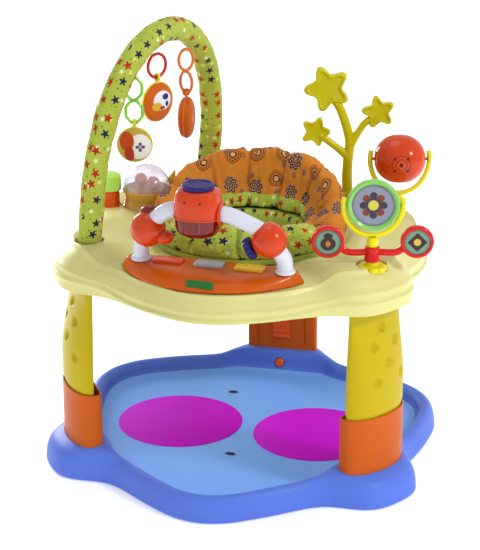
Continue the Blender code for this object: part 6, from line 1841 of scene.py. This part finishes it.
def build_plush():
    prints = {
        "round": ((196, 166, 70), [("round", 0.009, -0.002, 0.0200, 0.0225, (232, 228, 220)),
                                   ("round", -0.013, 0.008, 0.0125, 0.0165, (188, 72, 22)),
                                    ("round", -0.009, -0.015, 0.0085, 0.0150, (172, 58, 20)),
                                   ("round", 0.0100, 0.0035, 0.0030, 0.0034, (70, 84, 140)),
                                    ("round", 0.0100, -0.0065, 0.0030, 0.0034, (70, 84, 140)),
                                   ("round", 0.0050, -0.0015, 0.0034, 0.0030, (70, 84, 140)),
                                    ("round", 0.0150, -0.0015, 0.0034, 0.0030, (70, 84, 140)),
                                   ("round", 0.0100, -0.0015, 0.0026, 0.0026, (214, 168, 48))]),
        "disc": ((206, 96, 18), [("round", 0.004, 0.003, 0.0205, 0.0170, (228, 226, 232)),
                                 ("round", 0.011, 0.009, 0.0075, 0.0055, (34, 44, 116)),
                                 ("round", 0.014, -0.004, 0.0040, 0.0050, (34, 44, 116)),
                                 ("round", -0.009, -0.006, 0.0105, 0.0075, (214, 168, 48)),
                                 ("round", 0.003, -0.010, 0.0060, 0.0035, (150, 60, 24))]),
        "oval": ((196, 88, 12), [("box", 0.0, 0.0, 0.0011, 0.05, (160, 60, 20)),
                                 ("round", -0.014, 0.002, 0.005, 0.0075, (214, 120, 30)),
                                  ("round", 0.014, 0.002, 0.005, 0.0075, (214, 120, 30))]),
    }
    strap = plush("strap_yellow", (226, 210, 60))
    for key, name, radius, thickness, tall in (("left", "round", 0.0300, 0.026, 1.0),
                                               ("middle", "disc", 0.0345, 0.020, 1.0),
                                               ("right", "oval", 0.0330, 0.030, 1.12)):
        place = hang_place(key)
        height = 2 * LINK_RING_RADIUS if key == "middle" else LONG_LINK_HEIGHT
        wire_z = link_top(key) - height + LINK_ROD
        start = wire_z - EYELET_RADIUS - 0.006
        centre_z = start - radius * tall + 0.004
        ground, stamps = prints[name]
        body = pillow_shape(radius, thickness, centre_z, tall, 0.72 if name == "oval" else 1.15)
        toy = piece(f"plush_{name}_soft", moved(body, place),
                    soft_print(f"plush_{name}_print", ground, stamps), f"plush_{key}",
                    f"plush_{name}", angle=0)
        bore = LINK_ROD + RUN_GAP
        half = EYELET_THICKNESS / 2
        eye = turned([(bore, half), (EYELET_RADIUS, half), (EYELET_RADIUS, -half), (bore, -half)], 40,
                     closed=True, soft=0.0006)
        eye.transform(Matrix.Translation((0, 0, wire_z)) @ Matrix.Rotation(pi / 2, 4, "Y"))
        neck = tube([Vector((0, 0, wire_z - EYELET_RADIUS + 0.0015)),
                     Vector((0, 0, wire_z - EYELET_RADIUS - 0.004)),
                     Vector((0, 0, start - 0.003))], 0.0042, 20, squash=(1.0, 0.6), up=Vector((0, 1, 0)))
        edge = [Vector((1.0 * radius * 0.995 * cos(2 * pi * i / 72), 0,
                        centre_z + tall * radius * 0.995 * sin(2 * pi * i / 72)))
                for i in range(72)]
        trim = tube(edge, 0.0017, 10, cyclic=True)
        ribbon = plush("strap_orange", (214, 96, 20)) if name == "oval" else strap
        band = piece(f"plush_{name}_strap", moved(joined(eye, neck, trim), place), ribbon, f"plush_{key}")


# Carried-over CAD pieces

def repaint(name, material):
    nodes[name].data.materials.clear()
    nodes[name].data.materials.append(material)


def paint_nodes():
    orange = plastic("button_orange_gloss", (232, 88, 22), rough=0.28, coat=0.3)
    for side in LEG_ANGLES:
        for name in (f"lock_button_{side}", f"height_latch_{side}"):
            repaint(name, orange)
    repaint("arch_frame", plastic("frame_grey_tube", (150, 152, 154), rough=0.4))


# Stage

def area_light(name, place, target, size, watts):
    data = bpy.data.lights.new(name, "AREA")
    data.shape = "DISK"
    data.size = size
    data.energy = watts
    lamp = bpy.data.objects.new(name, data)
    bpy.context.scene.collection.objects.link(lamp)
    lamp.location = place
    lamp.rotation_euler = (Vector(place) - Vector(target)).to_track_quat("Z", "Y").to_euler()


def build_stage():
    world = bpy.data.worlds.new("white room")
    bpy.context.scene.world = world
    world.use_nodes = True
    tree = world.node_tree
    tree.nodes.clear()
    path = tree.nodes.new("ShaderNodeLightPath")
    seen = path.outputs["Is Camera Ray"]
    for ray in ("Is Glossy Ray", "Is Transmission Ray"):
        either = tree.nodes.new("ShaderNodeMath")
        either.operation = "MAXIMUM"
        tree.links.new(seen, either.inputs[0])
        tree.links.new(path.outputs[ray], either.inputs[1])
        seen = either.outputs[0]
    choose = tree.nodes.new("ShaderNodeMixShader")
    tree.links.new(seen, choose.inputs[0])
    for index, colour, strength in ((1, SOFT_WHITE, SOFT_STRENGTH), (2, (1.0, 1.0, 1.0, 1.0), 1.0)):
        back = tree.nodes.new("ShaderNodeBackground")
        back.inputs["Color"].default_value = colour
        back.inputs["Strength"].default_value = strength
        tree.links.new(back.outputs[0], choose.inputs[index])
    out = tree.nodes.new("ShaderNodeOutputWorld")
    tree.links.new(choose.outputs[0], out.inputs["Surface"])

    mesh = bpy.data.meshes.new("floor")
    reach = 6.0
    mesh.from_pydata([(-reach, -reach, 0), (reach, -reach, 0), (reach, reach, 0), (-reach, reach, 0)], [],
                     [(0, 1, 2, 3)])
    floor = bpy.data.objects.new("floor", mesh)
    bpy.context.scene.collection.objects.link(floor)
    s = Shader("floor_white")
    tint = s.blend(s.noise(3.0), rgb((244, 245, 246)), rgb((250, 250, 250)))
    away = s.node("ShaderNodeVectorMath", {0: s.place()}, operation="LENGTH").outputs["Value"]
    glow = s.math("MULTIPLY_ADD", s.math("SMOOTH_MIN", s.math("MULTIPLY", away, 0.9), 1.0, 0.3), 0.75, 0.08)
    s.set(Base_Color=tint, Roughness=0.7, Specular_IOR_Level=0.2, Emission_Color=rgb((255, 255, 255)),
          Emission_Strength=glow)
    mesh.materials.append(s.material)
    for lamp in LAMPS:
        area_light(*lamp)


def build_camera():
    a, e = CAMERA_AZIMUTH, CAMERA_ELEVATION
    back = Vector((sin(a) * cos(e), -cos(a) * cos(e), sin(e)))
    right = Vector((cos(a), sin(a), 0))
    up = back.cross(right)
    data = bpy.data.cameras.new("camera")
    data.sensor_fit = "HORIZONTAL"
    data.sensor_width = SENSOR_WIDTH
    data.lens = FOCAL_PIXELS / PHOTO_WIDTH * SENSOR_WIDTH
    data.shift_x = (PHOTO_WIDTH / 2 - CENTRE_X) / PHOTO_WIDTH
    data.shift_y = (CENTRE_Y - PHOTO_HEIGHT / 2) / PHOTO_WIDTH
    camera = bpy.data.objects.new("camera", data)
    bpy.context.scene.collection.objects.link(camera)
    turn = Matrix((right, up, back)).transposed().to_4x4()
    camera.matrix_world = Matrix.Translation(CAMERA_TARGET + back * CAMERA_DISTANCE) @ turn
    bpy.context.scene.camera = camera


bpy.context.scene.view_settings.view_transform = "Standard"
build_base()
build_legs()
build_tray()
build_seat()
build_console()
build_flip_ball(build_spinner())
build_star_tree()
build_music_toy()
build_arch()
build_links()
build_plush()
paint_nodes()
build_stage()
build_camera()
